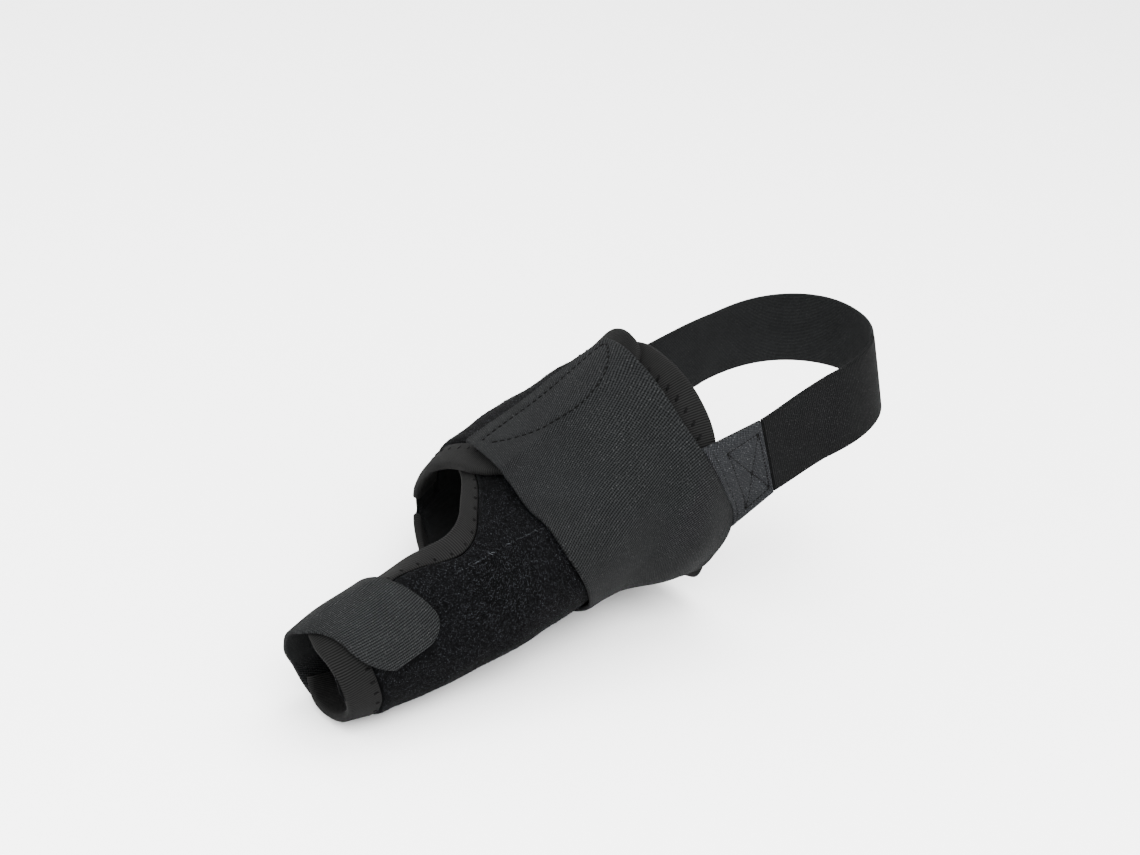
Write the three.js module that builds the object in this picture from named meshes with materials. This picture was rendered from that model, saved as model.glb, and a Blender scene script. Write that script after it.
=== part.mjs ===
// Bunion corrector for a right foot, in the form that it has when it is worn.
// Millimetres. X runs towards the toes, Y towards the big-toe side, Z up. The origin is on the sole plane
// under the middle of the arch, inside the brace.
import * as THREE from 'three';

// Driving sizes
const FOOT_LENGTH = 240;
const FOOT_WIDTH = 84;
const INSTEP_HEIGHT = 80;
const ORIGIN_FROM_HEEL = 0.49 * FOOT_LENGTH;

const PAD_WALL = 3.0;
const TAPE_WALL = 0.7;
const TAPE_WIDTH = 10;
const GAP = 0.3;
const ARCH_STRAP_WALL = 1.5;
const TOE_STRAP_WALL = 1.4;
const HOOK_WALL = 0.9;
const HEEL_STRAP_WALL = 1.5;
const HEEL_STRAP_WIDTH = 27;
const HEEL_END_WALL = 1.2;
const TAB_WALL = 2.6;

// Room that layers and folds take, worked out from the sizes above
const ON_PAD = PAD_WALL + GAP;
const ON_FLAP = ON_PAD + PAD_WALL + GAP;
const STRAP_EASE = 0.3;
const ON_STRAP = ON_PAD + STRAP_EASE;
const FOLD_ROUND = 0.2;
const PRESS_STEP = 1.2;
const CORE_LOW = TAPE_WALL + GAP;
const CORE_HIGH = PAD_WALL - TAPE_WALL - GAP;
const FOLD_INSET = TAPE_WALL + FOLD_ROUND;
const CORE_INSET = FOLD_INSET + GAP;
const MARGIN = TAPE_WIDTH + GAP;
const MARGIN_STEP = MARGIN + PRESS_STEP;

// Hollow that the brace is shaped on: cross-sections from the heel forward. "at" is a share of FOOT_LENGTH.
// "side" is where a section's middle is and "near" and "far" are its half widths on the big-toe side and
// on the outer side, as shares of FOOT_WIDTH. "height", "up" and "down" are the same in height, as shares
// of INSTEP_HEIGHT. "lean" is how far its top leans to the big-toe side for each millimetre of height.
const SECTIONS = [
  { at: 0.250, side: -0.012, height: 0.450, near: 0.327, far: 0.333, up: 0.875, down: 0.425, lean: 0.08 },
  { at: 0.325, side: -0.012, height: 0.425, near: 0.345, far: 0.345, up: 0.725, down: 0.400, lean: 0.10 },
  { at: 0.396, side: -0.018, height: 0.400, near: 0.423, far: 0.429, up: 0.600, down: 0.358, lean: 0.13 },
  { at: 0.467, side: -0.036, height: 0.362, near: 0.423, far: 0.464, up: 0.462, down: 0.338, lean: 0.20 },
  { at: 0.542, side: -0.024, height: 0.312, near: 0.464, far: 0.512, up: 0.344, down: 0.312, lean: 0.28 },
  { at: 0.617, side: 0.048, height: 0.262, near: 0.452, far: 0.500, up: 0.294, down: 0.256, lean: 0.25 },
  { at: 0.675, side: 0.143, height: 0.225, near: 0.393, far: 0.452, up: 0.275, down: 0.225, lean: 0.18 },
  { at: 0.733, side: 0.250, height: 0.188, near: 0.292, far: 0.310, up: 0.238, down: 0.206, lean: 0.10 },
  { at: 0.792, side: 0.333, height: 0.162, near: 0.220, far: 0.204, up: 0.216, down: 0.194, lean: 0.02 },
  { at: 0.854, side: 0.381, height: 0.150, near: 0.190, far: 0.150, up: 0.198, down: 0.188, lean: 0.00 },
  { at: 0.925, side: 0.399, height: 0.135, near: 0.185, far: 0.114, up: 0.150, down: 0.178, lean: 0.00 },
  { at: 0.983, side: 0.405, height: 0.110, near: 0.179, far: 0.090, up: 0.078, down: 0.150, lean: 0.00 },
];
const SQUARE_TOP_MEDIAL = 2.1;
const SQUARE_TOP_LATERAL = 1.75;
const SQUARE_SOLE_LATERAL = 2.6;
const SQUARE_SOLE_MEDIAL = 2.3;

// Turn angles go round a section: 0 is the big-toe side, 90 the top, -90 the sole, -180 the outer side, and
// below -180 the outer side and the top once more, on the layer that overlaps.
const FLAP_LIFT_FROM = -182;
const FLAP_LIFT_TO = -208;
const FLAP_END = -276;
const TONGUE_LOW = -168;
const BAND_FRONT = 0.633;

// Rear edge of the body band, as a share of FOOT_LENGTH at each turn
const BODY_REAR = [
  { turn: -276, at: 0.430 },
  { turn: -270, at: 0.413 },
  { turn: -263, at: 0.405 },
  { turn: -254, at: 0.400 },
  { turn: -246, at: 0.397 },
  { turn: -230, at: 0.400 },
  { turn: -205, at: 0.405 },
  { turn: -160, at: 0.385 },
  { turn: -120, at: 0.350 },
  { turn: -85, at: 0.324 },
  { turn: -60, at: 0.316 },
  { turn: -38, at: 0.322 },
  { turn: -18, at: 0.345 },
  { turn: 0, at: 0.362 },
  { turn: 22, at: 0.374 },
  { turn: 46, at: 0.379 },
  { turn: 61, at: 0.389 },
  { turn: 81, at: 0.399 },
  { turn: 104, at: 0.400 },
  { turn: 146, at: 0.406 },
];

// Front edge of the flap
const FLAP_FRONT = [
  { turn: -276, at: 0.622 },
  { turn: -264, at: 0.630 },
  { turn: -258, at: 0.638 },
  { turn: -246, at: 0.646 },
  { turn: -217, at: 0.650 },
  { turn: -204, at: 0.653 },
  { turn: -186, at: 0.645 },
  { turn: -168, at: 0.633 },
];

// Upper and lower edges of the tongue that runs forward along the big toe
const TONGUE_TOP = [
  { at: 0.633, turn: 146 },
  { at: 0.650, turn: 133 },
  { at: 0.679, turn: 115 },
  { at: 0.706, turn: 100 },
  { at: 0.732, turn: 99 },
  { at: 0.762, turn: 109 },
  { at: 0.790, turn: 122 },
  { at: 0.820, turn: 129 },
  { at: 0.880, turn: 108 },
  { at: 0.925, turn: 92 },
  { at: 0.965, turn: 84 },
];
const TONGUE_SOLE = [
  { at: 0.633, turn: -168 },
  { at: 0.650, turn: -152 },
  { at: 0.675, turn: -130 },
  { at: 0.710, turn: -116 },
  { at: 0.760, turn: -112 },
  { at: 0.810, turn: -120 },
  { at: 0.860, turn: -130 },
  { at: 0.965, turn: -134 },
];

// Toe opening: its edge slants, so the top reaches further forward than the sole
const TOE_FRONT = [
  { turn: -134, at: 0.922 },
  { turn: -90, at: 0.925 },
  { turn: -60, at: 0.922 },
  { turn: -24, at: 0.923 },
  { turn: -4, at: 0.931 },
  { turn: 13, at: 0.938 },
  { turn: 40, at: 0.946 },
  { turn: 63, at: 0.950 },
  { turn: 90, at: 0.948 },
];

// Arch strap: rear and front edges, and its end edge over the instep
const ARCH_STRAP = [
  { turn: -162, rear: 0.388, front: 0.600 },
  { turn: -135, rear: 0.378, front: 0.580 },
  { turn: -90, rear: 0.366, front: 0.545 },
  { turn: -58, rear: 0.352, front: 0.536 },
  { turn: -38, rear: 0.342, front: 0.540 },
  { turn: -27, rear: 0.330, front: 0.545 },
  { turn: -15, rear: 0.324, front: 0.558 },
  { turn: 0, rear: 0.334, front: 0.585 },
  { turn: 20, rear: 0.371, front: 0.616 },
  { turn: 35, rear: 0.395, front: 0.627 },
  { turn: 50, rear: 0.414, front: 0.635 },
  { turn: 64, rear: 0.423, front: 0.638 },
  { turn: 80, rear: 0.425, front: 0.637 },
  { turn: 104, rear: 0.421, front: 0.630 },
  { turn: 134, rear: 0.420, front: 0.618 },
];
const ARCH_STRAP_START = -162;
const ARCH_END = [
  { share: 0.00, turn: 104 },
  { share: 0.17, turn: 110 },
  { share: 0.40, turn: 118 },
  { share: 0.73, turn: 128 },
  { share: 1.00, turn: 134 },
];

// Hook patch under the arch strap's end: its straight edge follows the strap's end, the other edge is round
const HOOK_PATCH = [
  { at: 0.443, low: 96, high: 106 },
  { at: 0.452, low: 91, high: 108 },
  { at: 0.470, low: 87, high: 112 },
  { at: 0.505, low: 87, high: 117 },
  { at: 0.545, low: 92, high: 122 },
  { at: 0.580, low: 103, high: 127 },
  { at: 0.603, low: 120, high: 130 },
];

// Toe strap: it starts on the pad's lower edge, comes up beside the toe and ends on the big-toe side.
// "offRear" and "offFront" are how far its two edges stand off the hollow, as shares of ON_STRAP.
const TOE_STRAP = [
  { turn: 8, rear: 0.797, front: 0.880, offRear: 1.00, offFront: 1.00 },
  { turn: 21, rear: 0.798, front: 0.905, offRear: 1.00, offFront: 1.00 },
  { turn: 33, rear: 0.799, front: 0.919, offRear: 1.00, offFront: 1.00 },
  { turn: 47, rear: 0.808, front: 0.927, offRear: 1.00, offFront: 1.00 },
  { turn: 66, rear: 0.823, front: 0.939, offRear: 1.00, offFront: 1.00 },
  { turn: 86, rear: 0.838, front: 0.954, offRear: 1.03, offFront: 1.00 },
  { turn: 104, rear: 0.848, front: 0.960, offRear: 1.00, offFront: 0.80 },
  { turn: 125, rear: 0.852, front: 0.962, offRear: 0.94, offFront: 0.46 },
  { turn: 150, rear: 0.852, front: 0.960, offRear: 0.63, offFront: 0.23 },
  { turn: 180, rear: 0.848, front: 0.955, offRear: 0.40, offFront: 0.23 },
  { turn: 205, rear: 0.842, front: 0.944, offRear: 0.63, offFront: 0.57 },
  { turn: 222, rear: 0.838, front: 0.932, offRear: 1.00, offFront: 1.00 },
  { turn: 262, rear: 0.834, front: 0.908, offRear: 1.00, offFront: 1.00 },
];
const TOE_STRAP_TIP = 8;
const TOE_STRAP_START = 262;
const TOE_TAB_SLANT = 17;
const TOE_TAB_CORNER = 6;
const TOE_TAB_WIDTH = 0.11 * FOOT_LENGTH;
const TOE_TAB_AT = 0.85 * FOOT_LENGTH;
const TOE_TAB_TURN = 20;

// Heel straps: "run" is the way along the heel's outline from behind the heel, towards the big-toe side,
// as a share of FOOT_LENGTH, and "height" is the strap's middle as a share of INSTEP_HEIGHT
const HEEL_PATH = [
  { run: -0.560, height: 0.480 },
  { run: -0.440, height: 0.500 },
  { run: -0.330, height: 0.580 },
  { run: -0.220, height: 0.720 },
  { run: -0.110, height: 0.820 },
  { run: 0.000, height: 0.865 },
  { run: 0.110, height: 0.840 },
  { run: 0.180, height: 0.792 },
  { run: 0.240, height: 0.737 },
  { run: 0.300, height: 0.668 },
  { run: 0.370, height: 0.600 },
];
const HEEL_CENTRE = 0.192 * FOOT_LENGTH;
const HEEL_REACH = 0.141 * FOOT_LENGTH;
const HEEL_HALF_WIDTH = 0.357 * FOOT_WIDTH;
const HEEL_SQUARE = 2.25;
const HEEL_SPREAD = 0.10;
const HEEL_LEAN = 0.30;
const SIDE_LEAN = 0.08;
const LEAN_RUN = 0.20 * FOOT_LENGTH;
const TAB_END_RUN = 0.313;
const TAB_OFF = 1.2;
const HEEL_STRAP_OFF = 1.6;
const HEEL_SEAM_GAP = GAP / FOOT_LENGTH;
const HOOK_ON_FROM = 0.300 * FOOT_LENGTH;
const HOOK_ON_TO = 0.395 * FOOT_LENGTH;
const HOOK_TURN_LOW = -168;
const HOOK_TURN_HIGH = -200;
const SEAM_GAP = 1.0;
const HEEL_SEAM_RUN = 0.085;
const HEEL_HOOK_RUN = -0.520;

// Folds of the body band's rear edge under the sole, behind the arch strap's rear edge
const FOLD_HEIGHT = 5.4;
const FOLD_MIDDLE = -58;
const FOLD_SPREAD = 34;
const FOLD_PITCH = 26;
const FOLD_DEPTH = 0.38;
const FOLD_ROOM = 0.05 * FOOT_LENGTH;

// Curl of the flap's rear corner, behind the arch strap's rear edge
const CURL_HEIGHT = 3.2;
const CURL_MIDDLE = -262;
const CURL_SPREAD = 20;
const CURL_FROM = 0.418 * FOOT_LENGTH;
const CURL_LENGTH = 0.022 * FOOT_LENGTH;

// Raised line of the sewn pocket on the big-toe side
const POCKET_RIDGE = [
  { at: 0.600, turn: 34 },
  { at: 0.628, turn: 38 },
  { at: 0.692, turn: 47 },
  { at: 0.760, turn: 58 },
];
const RIDGE_HEIGHT = 0.8;
const RIDGE_SPREAD = 7;
const RIDGE_FROM = 0.600;
const RIDGE_TO = 0.775;
const RIDGE_FADE = 0.03;

const RAD = Math.PI / 180;
const STEP_IN = 0.5;

function blend(from, to, share) {
  return from + (to - from) * share;
}

function smooth(share) {
  const t = Math.min(Math.max(share, 0), 1);
  return t * t * (3 - 2 * t);
}

// Smooth curve through one column of a table, straight beyond its ends
function curve(table, key, name, place) {
  const last = table.length - 1;
  const slope = (low, high) => (table[high][name] - table[low][name]) / (table[high][key] - table[low][key]);
  const slopeAt = (i) => {
    if (i === 0) return slope(0, 1);
    if (i === last) return slope(last - 1, last);
    const before = table[i][key] - table[i - 1][key];
    const after = table[i + 1][key] - table[i][key];
    return (slope(i - 1, i) * after + slope(i, i + 1) * before) / (before + after);
  };
  if (place <= table[0][key]) return table[0][name] + slopeAt(0) * (place - table[0][key]);
  if (place >= table[last][key]) return table[last][name] + slopeAt(last) * (place - table[last][key]);
  let i = 0;
  while (place > table[i + 1][key]) i += 1;
  const span = table[i + 1][key] - table[i][key];
  const t = (place - table[i][key]) / span;
  const t2 = t * t;
  const t3 = t2 * t;
  return (2 * t3 - 3 * t2 + 1) * table[i][name] + (t3 - 2 * t2 + t) * span * slopeAt(i)
    + (3 * t2 - 2 * t3) * table[i + 1][name] + (t3 - t2) * span * slopeAt(i + 1);
}

// Place on the hollow's surface. "along" is measured from behind the heel.
function hollowPoint(along, turn) {
  const at = along / FOOT_LENGTH;
  const size = (name, scale) => curve(SECTIONS, 'at', name, at) * scale;
  const across = Math.cos(turn * RAD);
  const upward = Math.sin(turn * RAD);
  const halfWidth = across >= 0 ? size('near', FOOT_WIDTH) : size('far', FOOT_WIDTH);
  const halfHeight = upward >= 0 ? size('up', INSTEP_HEIGHT) : size('down', INSTEP_HEIGHT);
  let square = across >= 0 ? SQUARE_SOLE_MEDIAL : SQUARE_SOLE_LATERAL;
  if (upward >= 0) square = across >= 0 ? SQUARE_TOP_MEDIAL : SQUARE_TOP_LATERAL;
  const toEdge = Math.abs(across / halfWidth) ** square + Math.abs(upward / halfHeight) ** square;
  const reach = toEdge ** (-1 / square);
  return new THREE.Vector3(
    along - ORIGIN_FROM_HEEL,
    size('side', FOOT_WIDTH) + reach * across + curve(SECTIONS, 'at', 'lean', at) * reach * upward,
    size('height', INSTEP_HEIGHT) + reach * upward,
  );
}

// The same place lifted off the hollow by "off"
function liftedPoint(along, turn, off) {
  const round = hollowPoint(along, turn + STEP_IN).sub(hollowPoint(along, turn - STEP_IN));
  const forward = hollowPoint(along + STEP_IN, turn).sub(hollowPoint(along - STEP_IN, turn));
  const outward = round.cross(forward).normalize();
  return hollowPoint(along, turn).addScaledVector(outward, off);
}

// Millimetres round the section for one degree of turn
function turnLength(along, turn) {
  return hollowPoint(along, turn + STEP_IN).distanceTo(hollowPoint(along, turn - STEP_IN));
}

// Closed wall over a grid. pointAt(row, column, side) gives the inner (0) and outer (1) faces, and keep
// tells which cells of the grid are cloth. Each cell is cut along its shorter diagonal.
function wall(rows, columns, pointAt, keep = () => true) {
  const places = [];
  const faces = [];
  const numbers = new Map();
  const number = (row, column, side) => {
    const name = `${row},${column},${side}`;
    if (!numbers.has(name)) {
      numbers.set(name, places.length);
      places.push(pointAt(row, column, side));
    }
    return numbers.get(name);
  };
  const inGrid = (row, column) => row >= 0 && column >= 0 && row < rows - 1 && column < columns - 1;
  const kept = (row, column) => inGrid(row, column) && keep(row, column);
  const quad = (a, b, c, d) => {
    const acrossFirst = places[a].distanceTo(places[c]) <= places[b].distanceTo(places[d]);
    if (acrossFirst) faces.push(a, b, c, a, c, d);
    else faces.push(a, b, d, b, c, d);
  };
  for (let row = 0; row < rows - 1; row += 1) {
    for (let column = 0; column < columns - 1; column += 1) {
      if (!kept(row, column)) continue;
      const corner = (r, c, side) => number(row + r, column + c, side);
      quad(corner(0, 0, 1), corner(1, 0, 1), corner(1, 1, 1), corner(0, 1, 1));
      quad(corner(0, 0, 0), corner(0, 1, 0), corner(1, 1, 0), corner(1, 0, 0));
      if (!kept(row - 1, column)) quad(corner(0, 0, 0), corner(0, 0, 1), corner(0, 1, 1), corner(0, 1, 0));
      if (!kept(row + 1, column)) quad(corner(1, 0, 0), corner(1, 1, 0), corner(1, 1, 1), corner(1, 0, 1));
      if (!kept(row, column - 1)) quad(corner(0, 0, 0), corner(1, 0, 0), corner(1, 0, 1), corner(0, 0, 1));
      if (!kept(row, column + 1)) quad(corner(0, 1, 0), corner(0, 1, 1), corner(1, 1, 1), corner(1, 1, 0));
    }
  }
  let volume = 0;
  for (let i = 0; i < faces.length; i += 3) {
    const [a, b, c] = [places[faces[i]], places[faces[i + 1]], places[faces[i + 2]]];
    volume += a.dot(b.clone().cross(c));
  }
  if (volume < 0) faces.reverse();
  const geometry = new THREE.BufferGeometry();
  const numbersOfPlaces = places.flatMap((place) => [place.x, place.y, place.z]);
  geometry.setAttribute('position', new THREE.Float32BufferAttribute(numbersOfPlaces, 3));
  geometry.setIndex(faces);
  geometry.computeVertexNormals();
  return geometry;
}

// Evenly spaced list with both ends
function spread(from, to, count) {
  return Array.from({ length: count }, (_, i) => blend(from, to, i / (count - 1)));
}

// How far the body's inner face stands off the hollow: the flap lies over the panel
function bodyOff(turn) {
  return ON_PAD * smooth((turn - FLAP_LIFT_FROM) / (FLAP_LIFT_TO - FLAP_LIFT_FROM));
}

// The flap's rear corner curls up behind the arch strap
function cornerCurl(along, turn) {
  const away = (turn - CURL_MIDDLE) / CURL_SPREAD;
  return CURL_HEIGHT * smooth((CURL_FROM - along) / CURL_LENGTH) * Math.exp(-(away ** 2));
}

// Folds under the sole push the band's rear edge outward, most where the arch strap leaves it free
function soleFold(along, turn) {
  const fade = 1 - (along - bodyRear(turn) - CORE_INSET) / (MARGIN - CORE_INSET);
  const free = curve(ARCH_STRAP, 'turn', 'rear', turn) * FOOT_LENGTH - bodyRear(turn);
  const middle = Math.exp(-(((turn - FOLD_MIDDLE) / FOLD_SPREAD) ** 2));
  const wave = 1 - FOLD_DEPTH + FOLD_DEPTH * Math.cos((turn - FOLD_MIDDLE) / FOLD_PITCH * 2 * Math.PI);
  return FOLD_HEIGHT * Math.min(Math.max(fade, 0), 1) * smooth(free / FOLD_ROOM) * middle * wave;
}

// Sewn pocket ridge on the big-toe side
function pocketRidge(along, turn) {
  const at = along / FOOT_LENGTH;
  const away = (turn - curve(POCKET_RIDGE, 'at', 'turn', at)) / RIDGE_SPREAD;
  const ends = smooth((at - RIDGE_FROM) / RIDGE_FADE) * smooth((RIDGE_TO - at) / RIDGE_FADE);
  return RIDGE_HEIGHT * ends * Math.exp(-(away ** 2));
}

// Body pad: one grid. Its rows run from the rear edge forward, its columns round the foot.
const BAND_ROWS = 10;
const TONGUE_ROWS = 19;
const TONGUE_COLUMNS = 36;
const FLAP_COLUMNS = 13;
const REAR_MARGIN_ROWS = 3;
const FRONT_MARGIN_ROWS = 3;
const MARGIN_COLUMNS = 3;
const EDGE_TURN = 8;
// Columns lie closer together where the band folds under the sole
const COLUMN_SPREAD = [
  { step: 0, share: 0 },
  { step: 0.45, share: 0.55 },
  { step: 0.74, share: 0.76 },
  { step: 1, share: 1 },
];
const MARGINS = [CORE_INSET, MARGIN, MARGIN_STEP];
const TONGUE_FROM = BAND_FRONT * FOOT_LENGTH;
const TOE_MIDDLE = 0.90 * FOOT_LENGTH;

function tongueTop(along) {
  return curve(TONGUE_TOP, 'at', 'turn', along / FOOT_LENGTH);
}

function tongueSole(along) {
  return curve(TONGUE_SOLE, 'at', 'turn', along / FOOT_LENGTH);
}

function toeFront(turn) {
  return curve(TOE_FRONT, 'turn', 'at', turn) * FOOT_LENGTH;
}

// Turns of the tongue's columns at one place along the toe: close together beside both edges
function tongueTurns(along) {
  const top = tongueTop(along);
  const sole = tongueSole(along);
  const topLength = turnLength(along, top - EDGE_TURN);
  const soleLength = turnLength(along, sole + EDGE_TURN);
  const upper = MARGINS.map((inset) => top - inset / topLength);
  const lower = MARGINS.map((inset) => sole + inset / soleLength).reverse();
  const steps = TONGUE_COLUMNS - 2 * MARGIN_COLUMNS + 2;
  const inner = spread(0, 1, steps).slice(1, -1).map((t) => (
    blend(upper[MARGIN_COLUMNS - 1], lower[0], curve(COLUMN_SPREAD, 'step', 'share', t))));
  return [...upper, ...inner, ...lower];
}

function bodyRear(turn) {
  return curve(BODY_REAR, 'turn', 'at', turn) * FOOT_LENGTH;
}

const tongueStartTurns = tongueTurns(TONGUE_FROM);
const flapTurns = spread(TONGUE_LOW, FLAP_END, FLAP_COLUMNS + 1).slice(1);
const bodyTurns = [...tongueStartTurns, ...flapTurns];
const BODY_COLUMNS = bodyTurns.length;
const BODY_ROWS = BAND_ROWS + TONGUE_ROWS;

function bandPlace(row, column) {
  const turn = bodyTurns[column];
  const rear = bodyRear(turn);
  const inFlap = column >= TONGUE_COLUMNS;
  const front = inFlap ? curve(FLAP_FRONT, 'turn', 'at', turn) * FOOT_LENGTH : TONGUE_FROM;
  if (row < REAR_MARGIN_ROWS) return { along: rear + MARGINS[row], turn };
  const fromFront = BAND_ROWS - 1 - row;
  if (inFlap && fromFront < FRONT_MARGIN_ROWS) return { along: front - MARGINS[fromFront], turn };
  const first = rear + MARGINS[REAR_MARGIN_ROWS - 1];
  const lastRow = inFlap ? BAND_ROWS - FRONT_MARGIN_ROWS : BAND_ROWS - 1;
  const last = inFlap ? front - MARGINS[FRONT_MARGIN_ROWS - 1] : front;
  const share = (row - REAR_MARGIN_ROWS + 1) / (lastRow - REAR_MARGIN_ROWS + 1);
  return { along: blend(first, last, share), turn };
}

// Front end of the tongue at one of its columns
function tongueEnd(column) {
  return toeFront(tongueTurns(TOE_MIDDLE)[column]);
}

function tonguePlace(row, column) {
  const step = row - BAND_ROWS + 1;
  const fromFront = TONGUE_ROWS - step;
  const end = tongueEnd(column);
  let along = blend(TONGUE_FROM, end - MARGIN_STEP, step / (TONGUE_ROWS - FRONT_MARGIN_ROWS + 1));
  if (fromFront < FRONT_MARGIN_ROWS) along = end - MARGINS[fromFront];
  return { along, turn: tongueTurns(along)[column] };
}

function bodyPlace(row, column) {
  return row < BAND_ROWS ? bandPlace(row, column) : tonguePlace(row, column);
}

// Cloth is pressed thin where a binding is folded over it
function bodyPressed(row, column) {
  if (row < REAR_MARGIN_ROWS - 1) return true;
  if (row < BAND_ROWS) return column >= TONGUE_COLUMNS && row > BAND_ROWS - FRONT_MARGIN_ROWS;
  const besideTop = column < MARGIN_COLUMNS - 1;
  const besideSole = column > TONGUE_COLUMNS - MARGIN_COLUMNS && column < TONGUE_COLUMNS;
  return besideTop || besideSole || row > BODY_ROWS - FRONT_MARGIN_ROWS;
}

function bodyRise(along, turn) {
  return bodyOff(turn) + soleFold(along, turn) + cornerCurl(along, turn);
}

function bodyPoint(row, column, side) {
  const { along, turn } = bodyPlace(row, column);
  const rise = bodyRise(along, turn);
  if (bodyPressed(row, column)) return liftedPoint(along, turn, rise + (side ? CORE_HIGH : CORE_LOW));
  return liftedPoint(along, turn, rise + (side ? PAD_WALL + pocketRidge(along, turn) : 0));
}

function bodyKeep(row, column) {
  return row < BAND_ROWS - 1 || column < TONGUE_COLUMNS - 1;
}

// Binding: a tape folded over an edge. Its fold is drawn by places across it: inset from the edge and off
// the pad's inner face, for the tape's outer and inner faces.
const FOLD_CORNER = 0.28 * PAD_WALL;
const FOLD_CORE = 0.4 * PAD_WALL;
const TAPE_PROFILE = [
  { inset: TAPE_WIDTH, outer: PAD_WALL, innerInset: TAPE_WIDTH, inner: PAD_WALL - TAPE_WALL },
  { inset: FOLD_INSET, outer: PAD_WALL, innerInset: FOLD_INSET, inner: PAD_WALL - TAPE_WALL },
  { inset: 0, outer: PAD_WALL - FOLD_CORNER, innerInset: TAPE_WALL, inner: PAD_WALL - FOLD_CORE },
  { inset: 0, outer: FOLD_CORNER, innerInset: TAPE_WALL, inner: FOLD_CORE },
  { inset: FOLD_INSET, outer: 0, innerInset: FOLD_INSET, inner: TAPE_WALL },
  { inset: TAPE_WIDTH, outer: 0, innerInset: TAPE_WIDTH, inner: TAPE_WALL },
];

function binding(stations, placeAt) {
  return wall(stations.length, TAPE_PROFILE.length, (row, column, side) => {
    const fold = TAPE_PROFILE[column];
    const place = placeAt(stations[row], side ? fold.inset : fold.innerInset);
    const rise = bodyRise(place.along, place.turn);
    return liftedPoint(place.along, place.turn, rise + (side ? fold.outer : fold.inner));
  });
}

function rearBinding() {
  return binding(bodyTurns, (turn, inset) => ({ along: bodyRear(turn) + inset, turn }));
}

function flapBinding() {
  return binding(flapTurns, (turn, inset) => ({
    along: curve(FLAP_FRONT, 'turn', 'at', turn) * FOOT_LENGTH - inset, turn,
  }));
}

// Rows of the tongue that its side bindings run along, up to the toe opening's binding
const sideRows = Array.from({ length: TONGUE_ROWS - FRONT_MARGIN_ROWS + 1 }, (_, i) => BAND_ROWS + i);

// Place on the tongue's row at an inset from one of its side edges, towards the next column
function sidePlace(row, inset, edgeColumn, nextColumn) {
  const share = (inset - CORE_INSET) / (MARGIN - CORE_INSET);
  const along = blend(tonguePlace(row, edgeColumn).along, tonguePlace(row, nextColumn).along, share);
  const isTop = edgeColumn < nextColumn;
  const edge = isTop ? tongueTop(along) : tongueSole(along);
  const inward = isTop ? -1 : 1;
  return { along, turn: edge + inward * inset / turnLength(along, edge + inward * EDGE_TURN) };
}

function openingBinding() {
  return binding(sideRows, (row, inset) => sidePlace(row, inset, 0, 1));
}

function soleBinding() {
  const last = TONGUE_COLUMNS - 1;
  return binding(sideRows, (row, inset) => sidePlace(row, inset, last, last - 1));
}

function toeBinding() {
  const columns = Array.from({ length: TONGUE_COLUMNS }, (_, i) => i);
  return binding([-1, ...columns, TONGUE_COLUMNS], (station, inset) => {
    const column = Math.min(Math.max(station, 0), TONGUE_COLUMNS - 1);
    const along = tongueEnd(column) - inset;
    const past = (column - station) * (CORE_INSET - GAP) / turnLength(along, tongueTop(along) - EDGE_TURN);
    return { along, turn: tongueTurns(along)[column] + past };
  });
}

// Arch strap
const ARCH_ROWS = 9;
const ARCH_COLUMNS = 44;
const FLAP_UNDER_FROM = 50;
const FLAP_UNDER_TO = 80;
const HOOK_UNDER_TO = FLAP_UNDER_TO + 6;

function archStrapOff(along, turn) {
  const overFlap = smooth((turn - FLAP_UNDER_FROM) / (FLAP_UNDER_TO - FLAP_UNDER_FROM));
  const overHook = smooth((turn - FLAP_UNDER_TO) / (HOOK_UNDER_TO - FLAP_UNDER_TO));
  return ON_PAD + STRAP_EASE + soleFold(along, turn) + pocketRidge(along, turn)
    + (ON_FLAP - ON_PAD) * overFlap + (HOOK_WALL + GAP) * overHook;
}

function archStrapTurn(across, column) {
  return blend(ARCH_STRAP_START, curve(ARCH_END, 'share', 'turn', across), column / (ARCH_COLUMNS - 1));
}

function archStrapPoint(row, column, side) {
  const across = row / (ARCH_ROWS - 1);
  const turn = archStrapTurn(across, column);
  const rear = curve(ARCH_STRAP, 'turn', 'rear', turn) * FOOT_LENGTH;
  const front = curve(ARCH_STRAP, 'turn', 'front', turn) * FOOT_LENGTH;
  const along = blend(rear, front, across);
  return liftedPoint(along, turn, archStrapOff(along, turn) + side * ARCH_STRAP_WALL);
}

// Hook patch
const HOOK_ROWS = 9;
const HOOK_COLUMNS = 6;

function hookPatchPoint(row, column, side) {
  const at = blend(HOOK_PATCH[0].at, HOOK_PATCH[HOOK_PATCH.length - 1].at, row / (HOOK_ROWS - 1));
  const low = curve(HOOK_PATCH, 'at', 'low', at);
  const high = curve(HOOK_PATCH, 'at', 'high', at);
  const turn = blend(low, high, column / (HOOK_COLUMNS - 1));
  return liftedPoint(at * FOOT_LENGTH, turn, ON_FLAP + 0.5 * STRAP_EASE + side * HOOK_WALL);
}

// Toe strap: the end is slanted and its two corners are round
const TOE_STRAP_SHARES = [0, 0.05, 0.15, 0.38, 0.62, 0.85, 0.95, 1];
const TOE_STRAP_COLUMNS = 30;

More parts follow.
